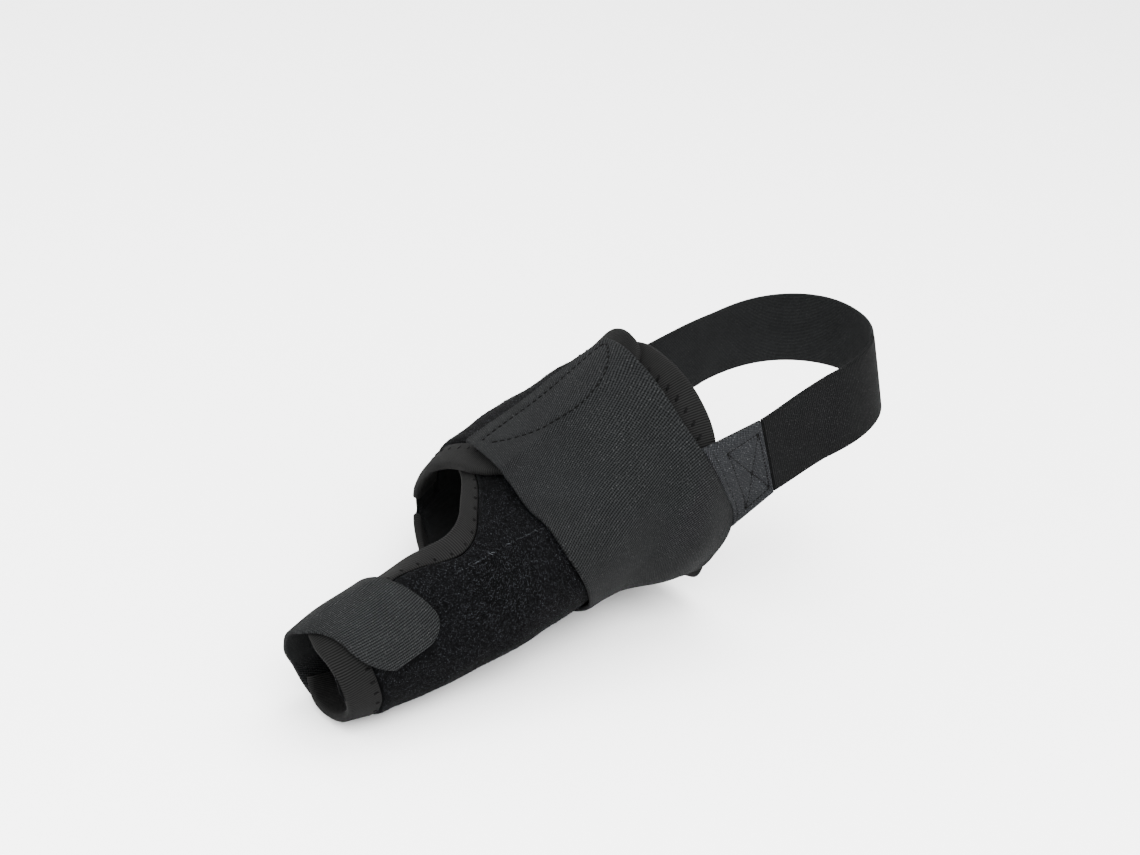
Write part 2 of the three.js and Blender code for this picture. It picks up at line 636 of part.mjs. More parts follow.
function toeStrapPoint(row, column, side) {
  const across = TOE_STRAP_SHARES[row];
  const toSide = Math.min(across, 1 - across) * TOE_TAB_WIDTH;
  const into = Math.max(TOE_TAB_CORNER - toSide, 0);
  const cut = TOE_TAB_CORNER - Math.sqrt(TOE_TAB_CORNER ** 2 - into ** 2);
  const degrees = 1 / turnLength(TOE_TAB_AT, TOE_TAB_TURN);
  const tip = TOE_STRAP_TIP + TOE_TAB_SLANT * (1 - across) + cut * degrees;
  const turn = blend(tip, TOE_STRAP_START, column / (TOE_STRAP_COLUMNS - 1));
  const rear = curve(TOE_STRAP, 'turn', 'rear', turn) * FOOT_LENGTH;
  const front = curve(TOE_STRAP, 'turn', 'front', turn) * FOOT_LENGTH;
  const offRear = curve(TOE_STRAP, 'turn', 'offRear', turn) * ON_STRAP;
  const offFront = curve(TOE_STRAP, 'turn', 'offFront', turn) * ON_STRAP;
  const off = blend(offRear, offFront, across);
  return liftedPoint(blend(rear, front, across), turn, off + side * TOE_STRAP_WALL);
}

// Heel outline seen from above: round behind the heel and nearly straight along both sides
const QUARTER_STEPS = 60;
const heelOutline = [];
for (let i = 0; i <= 2 * QUARTER_STEPS; i += 1) {
  const angle = (i / QUARTER_STEPS - 1) * 90 * RAD;
  const across = Math.abs(Math.sin(angle) / HEEL_HALF_WIDTH) ** HEEL_SQUARE;
  const back = Math.abs(Math.cos(angle) / HEEL_REACH) ** HEEL_SQUARE;
  const reach = (across + back) ** (-1 / HEEL_SQUARE);
  const x = HEEL_CENTRE - reach * Math.cos(angle);
  const y = reach * Math.sin(angle);
  const before = heelOutline[i - 1];
  heelOutline.push({ x, y, run: before ? before.run + Math.hypot(x - before.x, y - before.y) : 0 });
}
const HALF_RUN = heelOutline[2 * QUARTER_STEPS].run / 2;
heelOutline.forEach((place) => { place.run -= HALF_RUN; });

function heelPlan(run) {
  if (Math.abs(run) >= HALF_RUN) {
    const beyond = Math.abs(run) - HALF_RUN;
    return { x: HEEL_CENTRE + beyond, y: Math.sign(run) * (HEEL_HALF_WIDTH + HEEL_SPREAD * beyond) };
  }
  let i = 1;
  while (heelOutline[i].run < run) i += 1;
  const [before, after] = [heelOutline[i - 1], heelOutline[i]];
  const share = (run - before.run) / (after.run - before.run);
  return { x: blend(before.x, after.x, share), y: blend(before.y, after.y, share) };
}

// Place on a heel strap: "run" along its middle, "up" across its width, "off" outward
function heelPoint(run, up, off) {
  const path = (r) => curve(HEEL_PATH, 'run', 'height', r / FOOT_LENGTH) * INSTEP_HEIGHT;
  const rise = path(run + STEP_IN) - path(run - STEP_IN);
  const slope = Math.atan2(rise, 2 * STEP_IN);
  const place = run - up * Math.sin(slope);
  const height = path(run) + up * Math.cos(slope);
  const plan = heelPlan(place);
  const [before, after] = [heelPlan(place - STEP_IN), heelPlan(place + STEP_IN)];
  const outward = new THREE.Vector3(-(after.y - before.y), after.x - before.x, 0).normalize();
  const lean = blend(SIDE_LEAN, HEEL_LEAN, Math.exp(-((run / LEAN_RUN) ** 2))) * (path(run) - height);
  const point = new THREE.Vector3(plan.x - ORIGIN_FROM_HEEL, plan.y, height);
  return point.addScaledVector(outward, off + lean);
}

const BAND_COLUMNS = 4;
const HEEL_STRAP_ROWS = 14;
const HEEL_END_ROWS = 36;

function heelBand(fromRun, toRun, stations, thickness, placeAt) {
  return wall(stations, BAND_COLUMNS, (row, column, side) => {
    const run = blend(fromRun, toRun, row / (stations - 1)) * FOOT_LENGTH;
    return placeAt(run, column / (BAND_COLUMNS - 1) - 0.5, side * thickness);
  });
}

function heelStrap() {
  return heelBand(TAB_END_RUN, HEEL_SEAM_RUN, HEEL_STRAP_ROWS, HEEL_STRAP_WALL, (run, share, thick) => (
    heelPoint(run, share * HEEL_STRAP_WIDTH, HEEL_STRAP_OFF + thick)));
}

// The end passes behind the heel and lies on the body's outer side, where it hooks on
function heelStrapEnd() {
  const fromRun = HEEL_SEAM_RUN - HEEL_SEAM_GAP;
  return heelBand(fromRun, HEEL_HOOK_RUN, HEEL_END_ROWS, HEEL_END_WALL, (run, share, thick) => {
    const free = heelPoint(run, share * HEEL_STRAP_WIDTH, HEEL_STRAP_OFF + thick);
    const along = free.x + ORIGIN_FROM_HEEL;
    if (run > 0 || along < HOOK_ON_FROM) return free;
    const turn = blend(HOOK_TURN_LOW, HOOK_TURN_HIGH, share + 0.5);
    const laid = liftedPoint(along, turn, bodyRise(along, turn) + ON_PAD + STRAP_EASE + thick);
    return free.lerp(laid, smooth((along - HOOK_ON_FROM) / (HOOK_ON_TO - HOOK_ON_FROM)));
  });
}

// Heel tab: joins the heel strap to the arch strap's rear edge, between two of that strap's columns
const TAB_FIRST_COLUMN = 24;
const TAB_LAST_COLUMN = 33;
const TAB_ROWS = 8;

function heelTab() {
  const columns = TAB_LAST_COLUMN - TAB_FIRST_COLUMN + 1;
  return wall(TAB_ROWS, columns, (row, column, side) => {
    const share = column / (columns - 1);
    const up = (share - 0.5) * HEEL_STRAP_WIDTH;
    const strapEdge = heelPoint(TAB_END_RUN * FOOT_LENGTH + GAP, up, TAB_OFF);
    const turn = archStrapTurn(0, TAB_FIRST_COLUMN + column);
    const along = curve(ARCH_STRAP, 'turn', 'rear', turn) * FOOT_LENGTH;
    const off = archStrapOff(along, turn) + 0.5 * (ARCH_STRAP_WALL - TAB_WALL);
    const seam = liftedPoint(along, turn, off);
    seam.x -= SEAM_GAP;
    return seam.lerp(strapEdge, row / (TAB_ROWS - 1)).add(new THREE.Vector3(0, side * TAB_WALL, 0));
  });
}

const LOOKS = {
  body_pad: { colour: 0x14171c, roughness: 0.95 },
  toe_binding: { colour: 0x2f302e, roughness: 0.85 },
  opening_binding: { colour: 0x333431, roughness: 0.85 },
  sole_binding: { colour: 0x2f302e, roughness: 0.85 },
  flap_binding: { colour: 0x363733, roughness: 0.85 },
  rear_binding: { colour: 0x2a2c2b, roughness: 0.85 },
  toe_strap: { colour: 0x343a3c, roughness: 0.80 },
  arch_strap: { colour: 0x363a3a, roughness: 0.80 },
  arch_hook_patch: { colour: 0x1b1c1d, roughness: 0.90 },
  heel_tab: { colour: 0x33383a, roughness: 0.85 },
  heel_strap: { colour: 0x1f2020, roughness: 0.80 },
  heel_strap_end: { colour: 0x2d2f30, roughness: 0.75 },
};

const object = new THREE.Group();
object.name = 'bunion_corrector';

function add(name, geometry) {
  const { colour, roughness } = LOOKS[name];
  const material = new THREE.MeshStandardMaterial({ color: colour, roughness, metalness: 0 });
  const mesh = new THREE.Mesh(geometry, material);
  mesh.name = name;
  object.add(mesh);
}

add('body_pad', wall(BODY_ROWS, BODY_COLUMNS, bodyPoint, bodyKeep));
add('toe_binding', toeBinding());
add('opening_binding', openingBinding());
add('sole_binding', soleBinding());
add('flap_binding', flapBinding());
add('rear_binding', rearBinding());
add('toe_strap', wall(TOE_STRAP_SHARES.length, TOE_STRAP_COLUMNS, toeStrapPoint));
add('arch_strap', wall(ARCH_ROWS, ARCH_COLUMNS, archStrapPoint));
add('arch_hook_patch', wall(HOOK_ROWS, HOOK_COLUMNS, hookPatchPoint));
add('heel_tab', heelTab());
add('heel_strap', heelStrap());
add('heel_strap_end', heelStrapEnd());

export default object;
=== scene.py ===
import math

import bpy
import numpy as np
from mathutils import Matrix, Vector


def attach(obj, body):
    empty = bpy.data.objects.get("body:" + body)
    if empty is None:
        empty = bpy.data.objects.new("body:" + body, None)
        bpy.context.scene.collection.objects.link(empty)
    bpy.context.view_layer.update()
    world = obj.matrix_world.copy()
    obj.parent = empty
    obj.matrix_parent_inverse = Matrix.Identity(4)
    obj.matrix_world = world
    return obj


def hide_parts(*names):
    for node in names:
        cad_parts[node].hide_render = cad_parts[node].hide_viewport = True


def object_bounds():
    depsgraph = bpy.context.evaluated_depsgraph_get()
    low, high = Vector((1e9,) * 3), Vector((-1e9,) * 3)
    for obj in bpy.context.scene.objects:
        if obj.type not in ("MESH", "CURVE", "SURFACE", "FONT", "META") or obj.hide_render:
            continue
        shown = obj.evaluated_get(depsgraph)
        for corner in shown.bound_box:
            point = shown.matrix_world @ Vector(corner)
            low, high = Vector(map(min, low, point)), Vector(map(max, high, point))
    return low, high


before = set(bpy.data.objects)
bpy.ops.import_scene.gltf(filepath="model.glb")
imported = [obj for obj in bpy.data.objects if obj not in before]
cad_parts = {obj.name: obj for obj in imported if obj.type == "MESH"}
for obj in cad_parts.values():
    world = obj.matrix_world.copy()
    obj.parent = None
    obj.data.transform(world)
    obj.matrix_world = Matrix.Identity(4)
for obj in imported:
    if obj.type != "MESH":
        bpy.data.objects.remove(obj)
CAD_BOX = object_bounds()

# Sizes in millimetres, the same as the solids have. The row frame is in metres.
# A place on the foot's hollow is along, from the heel, and turn, in degrees round the section: 0 on the
# big-toe side, 90 on top. In the tables at, run, rear and front are shares of FOOT_LENGTH.
MM = 0.001
FOOT_LENGTH = 240
FOOT_WIDTH = 84
INSTEP_HEIGHT = 80
ORIGIN_FROM_HEEL = 0.49 * FOOT_LENGTH
PAD_WALL = 3.0
TAPE_WALL = 0.7
TAPE_WIDTH = 10
GAP = 0.3
ARCH_STRAP_WALL = 1.5
TOE_STRAP_WALL = 1.4
HOOK_WALL = 0.9
HEEL_STRAP_WALL = 1.5
HEEL_STRAP_WIDTH = 27
HEEL_END_WALL = 1.2
TAB_WALL = 2.6
ON_PAD = PAD_WALL + GAP
ON_FLAP = ON_PAD + PAD_WALL + GAP
STRAP_EASE = 0.3
ON_STRAP = ON_PAD + STRAP_EASE
FOLD_INSET = TAPE_WALL + 0.2
CORE_LOW = TAPE_WALL + GAP
CORE_HIGH = PAD_WALL - TAPE_WALL - GAP
CORE_INSET = FOLD_INSET + GAP
FLAP_LIFT_FROM, FLAP_LIFT_TO, FLAP_END, TONGUE_LOW = -182, -208, -276, -168
TONGUE_FROM = 0.633 * FOOT_LENGTH
EDGE_TURN = 8
STEP_IN = 0.5
RAD = math.pi / 180
FLAP_RISE_FROM, FLAP_RISE_TURNS, HOOK_RISE_FROM, HOOK_RISE_TURNS = 50, 30, 80, 6
random = np.random.RandomState(7)


def table(names, *rows):
    """Rows of numbers as one array for each named column."""
    return dict(zip(names.split(), np.array(rows, float).T))


SECTIONS = table(
    "at side height near far up down lean",
    (.250, -.012, .450, .327, .333, .875, .425, .08),
    (.325, -.012, .425, .345, .345, .725, .400, .10),
    (.396, -.018, .400, .423, .429, .600, .358, .13),
    (.467, -.036, .362, .423, .464, .462, .338, .20),
    (.542, -.024, .312, .464, .512, .344, .312, .28),
    (.617, .048, .262, .452, .500, .294, .256, .25),
    (.675, .143, .225, .393, .452, .275, .225, .18),
    (.733, .250, .188, .292, .310, .238, .206, .10),
    (.792, .333, .162, .220, .204, .216, .194, .02),
    (.854, .381, .150, .190, .150, .198, .188, 0),
    (.925, .399, .135, .185, .114, .150, .178, 0),
    (.983, .405, .110, .179, .090, .078, .150, 0),
)
# Exponents of the section's quarters, near and far
SQUARE_TOP, SQUARE_SOLE = (2.1, 1.75), (2.3, 2.6)
BODY_REAR = table(
    "turn at",
    (-276, .430), (-270, .413), (-263, .405), (-254, .400), (-246, .397), (-230, .400), (-205, .405),
    (-160, .385), (-120, .350), (-85, .324), (-60, .316), (-38, .322), (-18, .345), (0, .362),
    (22, .374), (46, .379), (61, .389), (81, .399), (104, .400), (146, .406),
)
FLAP_FRONT = table(
    "turn at",
    (-276, .622), (-264, .630), (-258, .638), (-246, .646), (-217, .650), (-204, .653), (-186, .645),
    (-168, .633),
)
TONGUE_TOP = table(
    "at turn",
    (.633, 146), (.650, 133), (.679, 115), (.706, 100), (.732, 99), (.762, 109), (.790, 122),
    (.820, 129), (.880, 108), (.925, 92), (.965, 84),
)
TONGUE_SOLE = table(
    "at turn",
    (.633, -168), (.650, -152), (.675, -130), (.710, -116), (.760, -112), (.810, -120), (.860, -130),
    (.965, -134),
)
TOE_FRONT = table(
    "turn at",
    (-134, .922), (-90, .925), (-60, .922), (-24, .923), (-4, .931), (13, .938), (40, .946),
    (63, .950), (90, .948),
)
ARCH_STRAP = table(
    "turn rear front",
    (-162, .388, .600), (-135, .378, .580), (-90, .366, .545), (-58, .352, .536), (-38, .342, .540),
    (-27, .330, .545), (-15, .324, .558), (0, .334, .585), (20, .371, .616), (35, .395, .627),
    (50, .414, .635), (64, .423, .638), (80, .425, .637), (104, .421, .630), (134, .420, .618),
)
ARCH_STRAP_START = -162
ARCH_END = table("share turn", (0, 104), (.17, 110), (.40, 118), (.73, 128), (1, 134))
HOOK_PATCH = table(
    "at low high",
    (.443, 96, 106), (.452, 91, 108), (.470, 87, 112), (.505, 87, 117), (.545, 92, 122),
    (.580, 103, 127), (.603, 120, 130),
)
TOE_STRAP = table(
    "turn rear front offRear offFront",
    (8, .797, .880, 1, 1), (21, .798, .905, 1, 1), (33, .799, .919, 1, 1), (47, .808, .927, 1, 1),
    (66, .823, .939, 1, 1), (86, .838, .954, 1.03, 1), (104, .848, .960, 1, .80),
    (125, .852, .962, .94, .46), (150, .852, .960, .63, .23), (180, .848, .955, .40, .23),
    (205, .842, .944, .63, .57), (222, .838, .932, 1, 1), (262, .834, .908, 1, 1),
)
TOE_STRAP_TIP, TOE_STRAP_START, TOE_TAB_SLANT, TOE_TAB_CORNER = 8, 262, 17, 6
TOE_TAB_WIDTH = 0.11 * FOOT_LENGTH
TOE_TAB_AT = 0.85 * FOOT_LENGTH
TOE_TAB_TURN = 20
TOE_STRAP_LENGTH = 84.0
HEEL_PATH = table(
    "run height",
    (-.560, .480), (-.440, .500), (-.330, .580), (-.220, .720), (-.110, .820), (0, .865), (.110, .840),
    (.180, .792), (.240, .737), (.300, .668), (.370, .600),
)
HEEL_CENTRE = 0.192 * FOOT_LENGTH
HEEL_REACH = 0.141 * FOOT_LENGTH
HEEL_HALF_WIDTH = 0.357 * FOOT_WIDTH
HEEL_SQUARE = 2.25
HEEL_SPREAD = 0.10
HEEL_LEAN, SIDE_LEAN, LEAN_RUN = 0.30, 0.08, 0.20 * FOOT_LENGTH
TAB_END_RUN, HEEL_SEAM_RUN, HEEL_HOOK_RUN = 0.313, 0.085, -0.520
TAB_OFF, HEEL_STRAP_OFF, SEAM_GAP = 1.2, 1.6, 0.15
TAB_SEAM_LOW, TAB_SEAM_HIGH = 24 / 43, 33 / 43
OUTLINE_STEPS = 240
HOOK_ON_FROM, HOOK_ON_TO = 0.300 * FOOT_LENGTH, 0.395 * FOOT_LENGTH
HOOK_TURN_LOW, HOOK_TURN_HIGH = -168, -200
FOLD_HEIGHT, FOLD_MIDDLE, FOLD_SPREAD, FOLD_PITCH, FOLD_DEPTH = 5.4, -58, 34, 26, 0.38
FOLD_ROOM = 0.05 * FOOT_LENGTH
MARGIN = TAPE_WIDTH + GAP
CURL_HEIGHT, CURL_MIDDLE, CURL_SPREAD = 3.2, -262, 20
CURL_FROM, CURL_LENGTH = 0.418 * FOOT_LENGTH, 0.022 * FOOT_LENGTH
POCKET_RIDGE = table("at turn", (.600, 34), (.628, 38), (.692, 47), (.760, 58))
RIDGE_HEIGHT, RIDGE_SPREAD, RIDGE_FROM, RIDGE_TO, RIDGE_FADE = 0.8, 7, .600, .775, .03


# The form

def mix(a, b, share):
    return a + (b - a) * share


def smooth(share):
    t = np.clip(share, 0, 1)
    return t * t * (3 - 2 * t)


def bell(away, spread):
    return np.exp(-((away / spread) ** 2))


def unit(vectors):
    return vectors / np.linalg.norm(vectors, axis=-1, keepdims=True)


def oval(across, upward, power):
    """Reach of a squared oval, for the two parts of a direction over its half sizes."""
    return (np.abs(across) ** power + np.abs(upward) ** power) ** (-1 / power)


def curve(rows, key, name, place):
    """Smooth curve through one column of a table, straight beyond its ends."""
    xs, ys = rows[key], rows[name]
    span, rise = np.diff(xs), np.diff(ys)
    slope = np.empty_like(ys)
    slope[0], slope[-1] = rise[0] / span[0], rise[-1] / span[-1]
    left, right = span[:-1], span[1:]
    slope[1:-1] = (rise[:-1] / left * right + rise[1:] / right * left) / (left + right)
    i = np.clip(np.searchsorted(xs, place) - 1, 0, len(xs) - 2)
    t = (place - xs[i]) / span[i]
    inside = ((2 * t**3 - 3 * t**2 + 1) * ys[i] + (t**3 - 2 * t**2 + t) * span[i] * slope[i]
              + (3 * t**2 - 2 * t**3) * ys[i + 1] + (t**3 - t**2) * span[i] * slope[i + 1])
    before = ys[0] + slope[0] * (place - xs[0])
    after = ys[-1] + slope[-1] * (place - xs[-1])
    return np.where(place <= xs[0], before, np.where(place >= xs[-1], after, inside))


def hollow(along, turn):
    """Place on the hollow's surface, in millimetres of the row frame."""
    along, turn = np.broadcast_arrays(along, turn)
    side, height, near, far, up, down, lean = (
        curve(SECTIONS, "at", name, along / FOOT_LENGTH) for name in list(SECTIONS)[1:])
    across, upward = np.cos(turn * RAD), np.sin(turn * RAD)
    half_width = np.where(across >= 0, near, far) * FOOT_WIDTH
    half_height = np.where(upward >= 0, up, down) * INSTEP_HEIGHT
    square = np.where(upward >= 0, np.where(across >= 0, *SQUARE_TOP), np.where(across >= 0, *SQUARE_SOLE))
    reach = oval(across / half_width, upward / half_height, square)
    x, y = along - ORIGIN_FROM_HEEL, side * FOOT_WIDTH + reach * across + lean * reach * upward
    return np.stack([x, y, height * INSTEP_HEIGHT + reach * upward], -1)


def outward(along, turn):
    round_it = hollow(along, turn + STEP_IN) - hollow(along, turn - STEP_IN)
    forward = hollow(along + STEP_IN, turn) - hollow(along - STEP_IN, turn)
    return unit(np.cross(round_it, forward))


def lifted(along, turn, off):
    return hollow(along, turn) + outward(along, turn) * np.asarray(off)[..., None]


def run_along(points, axis=0):
    """Length of a line of points up to each of them."""
    step = np.linalg.norm(np.diff(points, axis=axis), axis=-1)
    return np.insert(np.cumsum(step, axis), 0, 0, axis)


def turn_length(along, turn):
    """Millimetres round the section for one degree of turn."""
    return np.linalg.norm(hollow(along, turn + STEP_IN) - hollow(along, turn - STEP_IN), axis=-1)


def along_line(rows, name="at"):
    """A column by turn, as a function that gives millimetres along the foot."""
    return lambda turn: curve(rows, "turn", name, turn) * FOOT_LENGTH


def turn_line(rows):
    return lambda along: curve(rows, "at", "turn", along / FOOT_LENGTH)


body_rear, flap_front, toe_front = (along_line(rows) for rows in (BODY_REAR, FLAP_FRONT, TOE_FRONT))
tongue_top, tongue_sole, pocket_line = (turn_line(rows) for rows in (TONGUE_TOP, TONGUE_SOLE, POCKET_RIDGE))
arch_rear, arch_front = along_line(ARCH_STRAP, "rear"), along_line(ARCH_STRAP, "front")
toe_strap_rear, toe_strap_front = along_line(TOE_STRAP, "rear"), along_line(TOE_STRAP, "front")


def sole_fold(along, turn):
    """Soft folds of the rear edge where it is free below the arch strap."""
    fade = 1 - (along - body_rear(turn) - CORE_INSET) / (MARGIN - CORE_INSET)
    free = arch_rear(turn) - body_rear(turn)
    wave = 1 - FOLD_DEPTH + FOLD_DEPTH * np.cos((turn - FOLD_MIDDLE) / FOLD_PITCH * 2 * math.pi)
    middle = bell(turn - FOLD_MIDDLE, FOLD_SPREAD)
    return FOLD_HEIGHT * np.clip(fade, 0, 1) * smooth(free / FOLD_ROOM) * middle * wave


def corner_curl(along, turn):
    """Lift of the flap's rear corner."""
    return CURL_HEIGHT * smooth((CURL_FROM - along) / CURL_LENGTH) * bell(turn - CURL_MIDDLE, CURL_SPREAD)


def pocket_ridge(along, turn):
    at = along / FOOT_LENGTH
    ends = smooth((at - RIDGE_FROM) / RIDGE_FADE) * smooth((RIDGE_TO - at) / RIDGE_FADE)
    return RIDGE_HEIGHT * ends * bell(turn - pocket_line(along), RIDGE_SPREAD)


def body_rise(along, turn):
    over = ON_PAD * smooth((turn - FLAP_LIFT_FROM) / (FLAP_LIFT_TO - FLAP_LIFT_FROM))
    return over + sole_fold(along, turn) + corner_curl(along, turn)


def arch_off(along, turn):
    over_flap = smooth((turn - FLAP_RISE_FROM) / FLAP_RISE_TURNS)
    over_hook = smooth((turn - HOOK_RISE_FROM) / HOOK_RISE_TURNS)
    return (ON_STRAP + sole_fold(along, turn) + pocket_ridge(along, turn)
            + (ON_FLAP - ON_PAD) * over_flap + (HOOK_WALL + GAP) * over_hook)


def arch_turn(across, share):
    return mix(ARCH_STRAP_START, curve(ARCH_END, "share", "turn", across), share)


# Heel outline seen from above, and places on the heel straps
angles = np.linspace(-90, 90, OUTLINE_STEPS + 1) * RAD
outline_reach = oval(np.sin(angles) / HEEL_HALF_WIDTH, np.cos(angles) / HEEL_REACH, HEEL_SQUARE)
outline_x = HEEL_CENTRE - outline_reach * np.cos(angles)
outline_y = outline_reach * np.sin(angles)
outline_run = run_along(np.stack([outline_x, outline_y], 1))
HALF_RUN = outline_run[-1] / 2
outline_run -= HALF_RUN


def heel_plan(run):
    beyond = np.maximum(np.abs(run) - HALF_RUN, 0)
    x = np.interp(run, outline_run, outline_x) + beyond
    y = np.interp(run, outline_run, outline_y) + np.sign(run) * HEEL_SPREAD * beyond
    return x, y


def heel_height(run):
    return curve(HEEL_PATH, "run", "height", run / FOOT_LENGTH) * INSTEP_HEIGHT


def heel_place(run, up, off):
    """Place on the heel loop: run from behind the heel, up across the strap, off outwards."""
    run, up, off = np.broadcast_arrays(run, up, off)
    slope = np.arctan2(heel_height(run + STEP_IN) - heel_height(run - STEP_IN), 2 * STEP_IN)
    place, height = run - up * np.sin(slope), heel_height(run) + up * np.cos(slope)
    x, y = heel_plan(place)
    (x0, y0), (x1, y1) = heel_plan(place - STEP_IN), heel_plan(place + STEP_IN)
    normal = unit(np.stack([-(y1 - y0), x1 - x0, 0 * x], -1))
    lean = mix(SIDE_LEAN, HEEL_LEAN, bell(run, LEAN_RUN)) * (heel_height(run) - height)
    return np.stack([x - ORIGIN_FROM_HEEL, y, height], -1) + normal * (off + lean)[..., None]


# Mesh builders

def add(name, data):
    made = bpy.data.objects.new(name, data)
    bpy.context.scene.collection.objects.link(made)
    return made


def finish_mesh(name, points, faces, uvs, material, slot):
    mesh = bpy.data.meshes.new(name)
    mesh.from_pydata((points * MM).tolist(), [], faces.tolist())
    layer = mesh.uv_layers.new(name="cloth")
    corners = np.zeros(len(mesh.loops), np.int32)
    mesh.loops.foreach_get("vertex_index", corners)
    layer.data.foreach_set("uv", (uvs[corners] * MM).astype(np.float32).ravel())
    mesh.polygons.foreach_set("use_smooth", np.ones(len(mesh.polygons), bool))
    mesh.materials.append(material)
    mesh.update()
    piece = add(name, mesh)
    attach(piece, "root")
    return piece


def wall(name, outer, inner, material, slot, keep=None, uv=None):
    """Closed cloth over a grid: the outer face, the inner face and the rim between them."""
    rows, columns = outer.shape[:2]
    keep = np.ones((rows - 1, columns - 1), bool) if keep is None else keep
    index = np.arange(rows * columns).reshape(rows, columns)
    under = rows * columns
    a, b, c, d = index[:-1, :-1], index[1:, :-1], index[1:, 1:], index[:-1, 1:]
    faces = [np.stack([a[keep], b[keep], c[keep], d[keep]], 1)]
    faces.append(faces[0][:, ::-1] + under)
    near = np.pad(keep, 1)
    for p, q, beside in ((a, d, near[:-2, 1:-1]), (c, b, near[2:, 1:-1]),
                         (b, a, near[1:-1, :-2]), (d, c, near[1:-1, 2:])):
        edge = keep & ~beside
        faces.append(np.stack([p[edge], q[edge], q[edge] + under, p[edge] + under], 1))
    faces = np.concatenate(faces)
    points = np.concatenate([outer.reshape(-1, 3), inner.reshape(-1, 3)])
    uv = np.stack([run_along(outer, 1), run_along(outer)], -1) if uv is None else uv
    uvs = np.concatenate([uv.reshape(-1, 2)] * 2)
    used, faces = np.unique(faces, return_inverse=True)
    faces = faces.reshape(-1, 4)
    points, uvs = points[used], uvs[used]
    p, q, r, s = (points[faces[:, i]] for i in range(4))
    volume = (p * np.cross(q, r)).sum() + (p * np.cross(r, s)).sum()
    if volume < 0:
        faces = faces[:, ::-1]
    return finish_mesh(name, points, faces, uvs, material, slot)


def rounded(edge_distance, thickness):
    """How far a face drops towards a rounded edge."""
    r = thickness / 2
    into = np.clip(r - edge_distance, 0, r)
    return r - np.sqrt(np.maximum(r * r - into * into, 0))


# Rings of a thread: share of its length, of its radius, and how many radii it sinks
THREAD_RINGS = ((0, .25, .6), (.12, .8, .15), (.5, 1, 0), (.88, .8, .15), (1, .25, .6))
THREAD_SIDES, THREAD_FLAT = 6, 0.7
TONE_SPREAD = 900


def repeated(faces, count, each):
    """Faces of one fibre, for as many fibres of that many points each."""
    return (np.array(faces)[None] + (np.arange(count) * each)[:, None, None]).reshape(-1, 4)


def own_tones(count, each):
    """One random place in the noise for all points of a fibre."""
    return np.repeat(random.rand(count, 2) * TONE_SPREAD, each, 0)


def tubes(name, starts, ends, normals, radius, material, slot):
    """Many short threads with round ends, joined in one mesh."""
    way = ends - starts
    long = np.linalg.norm(way, axis=1, keepdims=True)
    way = way / long
    side = unit(np.cross(way, normals))
    top = np.cross(side, way)
    rings = []
    for share, width, sink in THREAD_RINGS:
        centre = starts + way * long * share - top * radius * sink
        for k in range(THREAD_SIDES):
            angle = 2 * math.pi * k / THREAD_SIDES
            rings.append(centre + side * radius * width * math.cos(angle)
                         + top * radius * width * THREAD_FLAT * math.sin(angle))
    count, each = len(starts), len(rings)
    points = np.stack(rings, 1).reshape(-1, 3)
    last = each - THREAD_SIDES
    quads = []
    for ring in range(0, last, THREAD_SIDES):
        for k in range(THREAD_SIDES):
            m = (k + 1) % THREAD_SIDES
            quads.append([ring + k, ring + m, ring + THREAD_SIDES + m, ring + THREAD_SIDES + k])
    # Two quads close each end, as a thread has six sides
    caps = []
    for a, b, c, d, e, f in (range(THREAD_SIDES)[::-1], range(last, each)):
        caps += [[a, b, c, d], [a, d, e, f]]
    faces = np.concatenate([repeated(quads, count, each), repeated(caps, count, each)])
    return finish_mesh(name, points, faces, own_tones(count, each), material, slot)


# Materials

# A wave texture of scale 1 runs through this many radians in a unit
WAVE_UNIT = 20


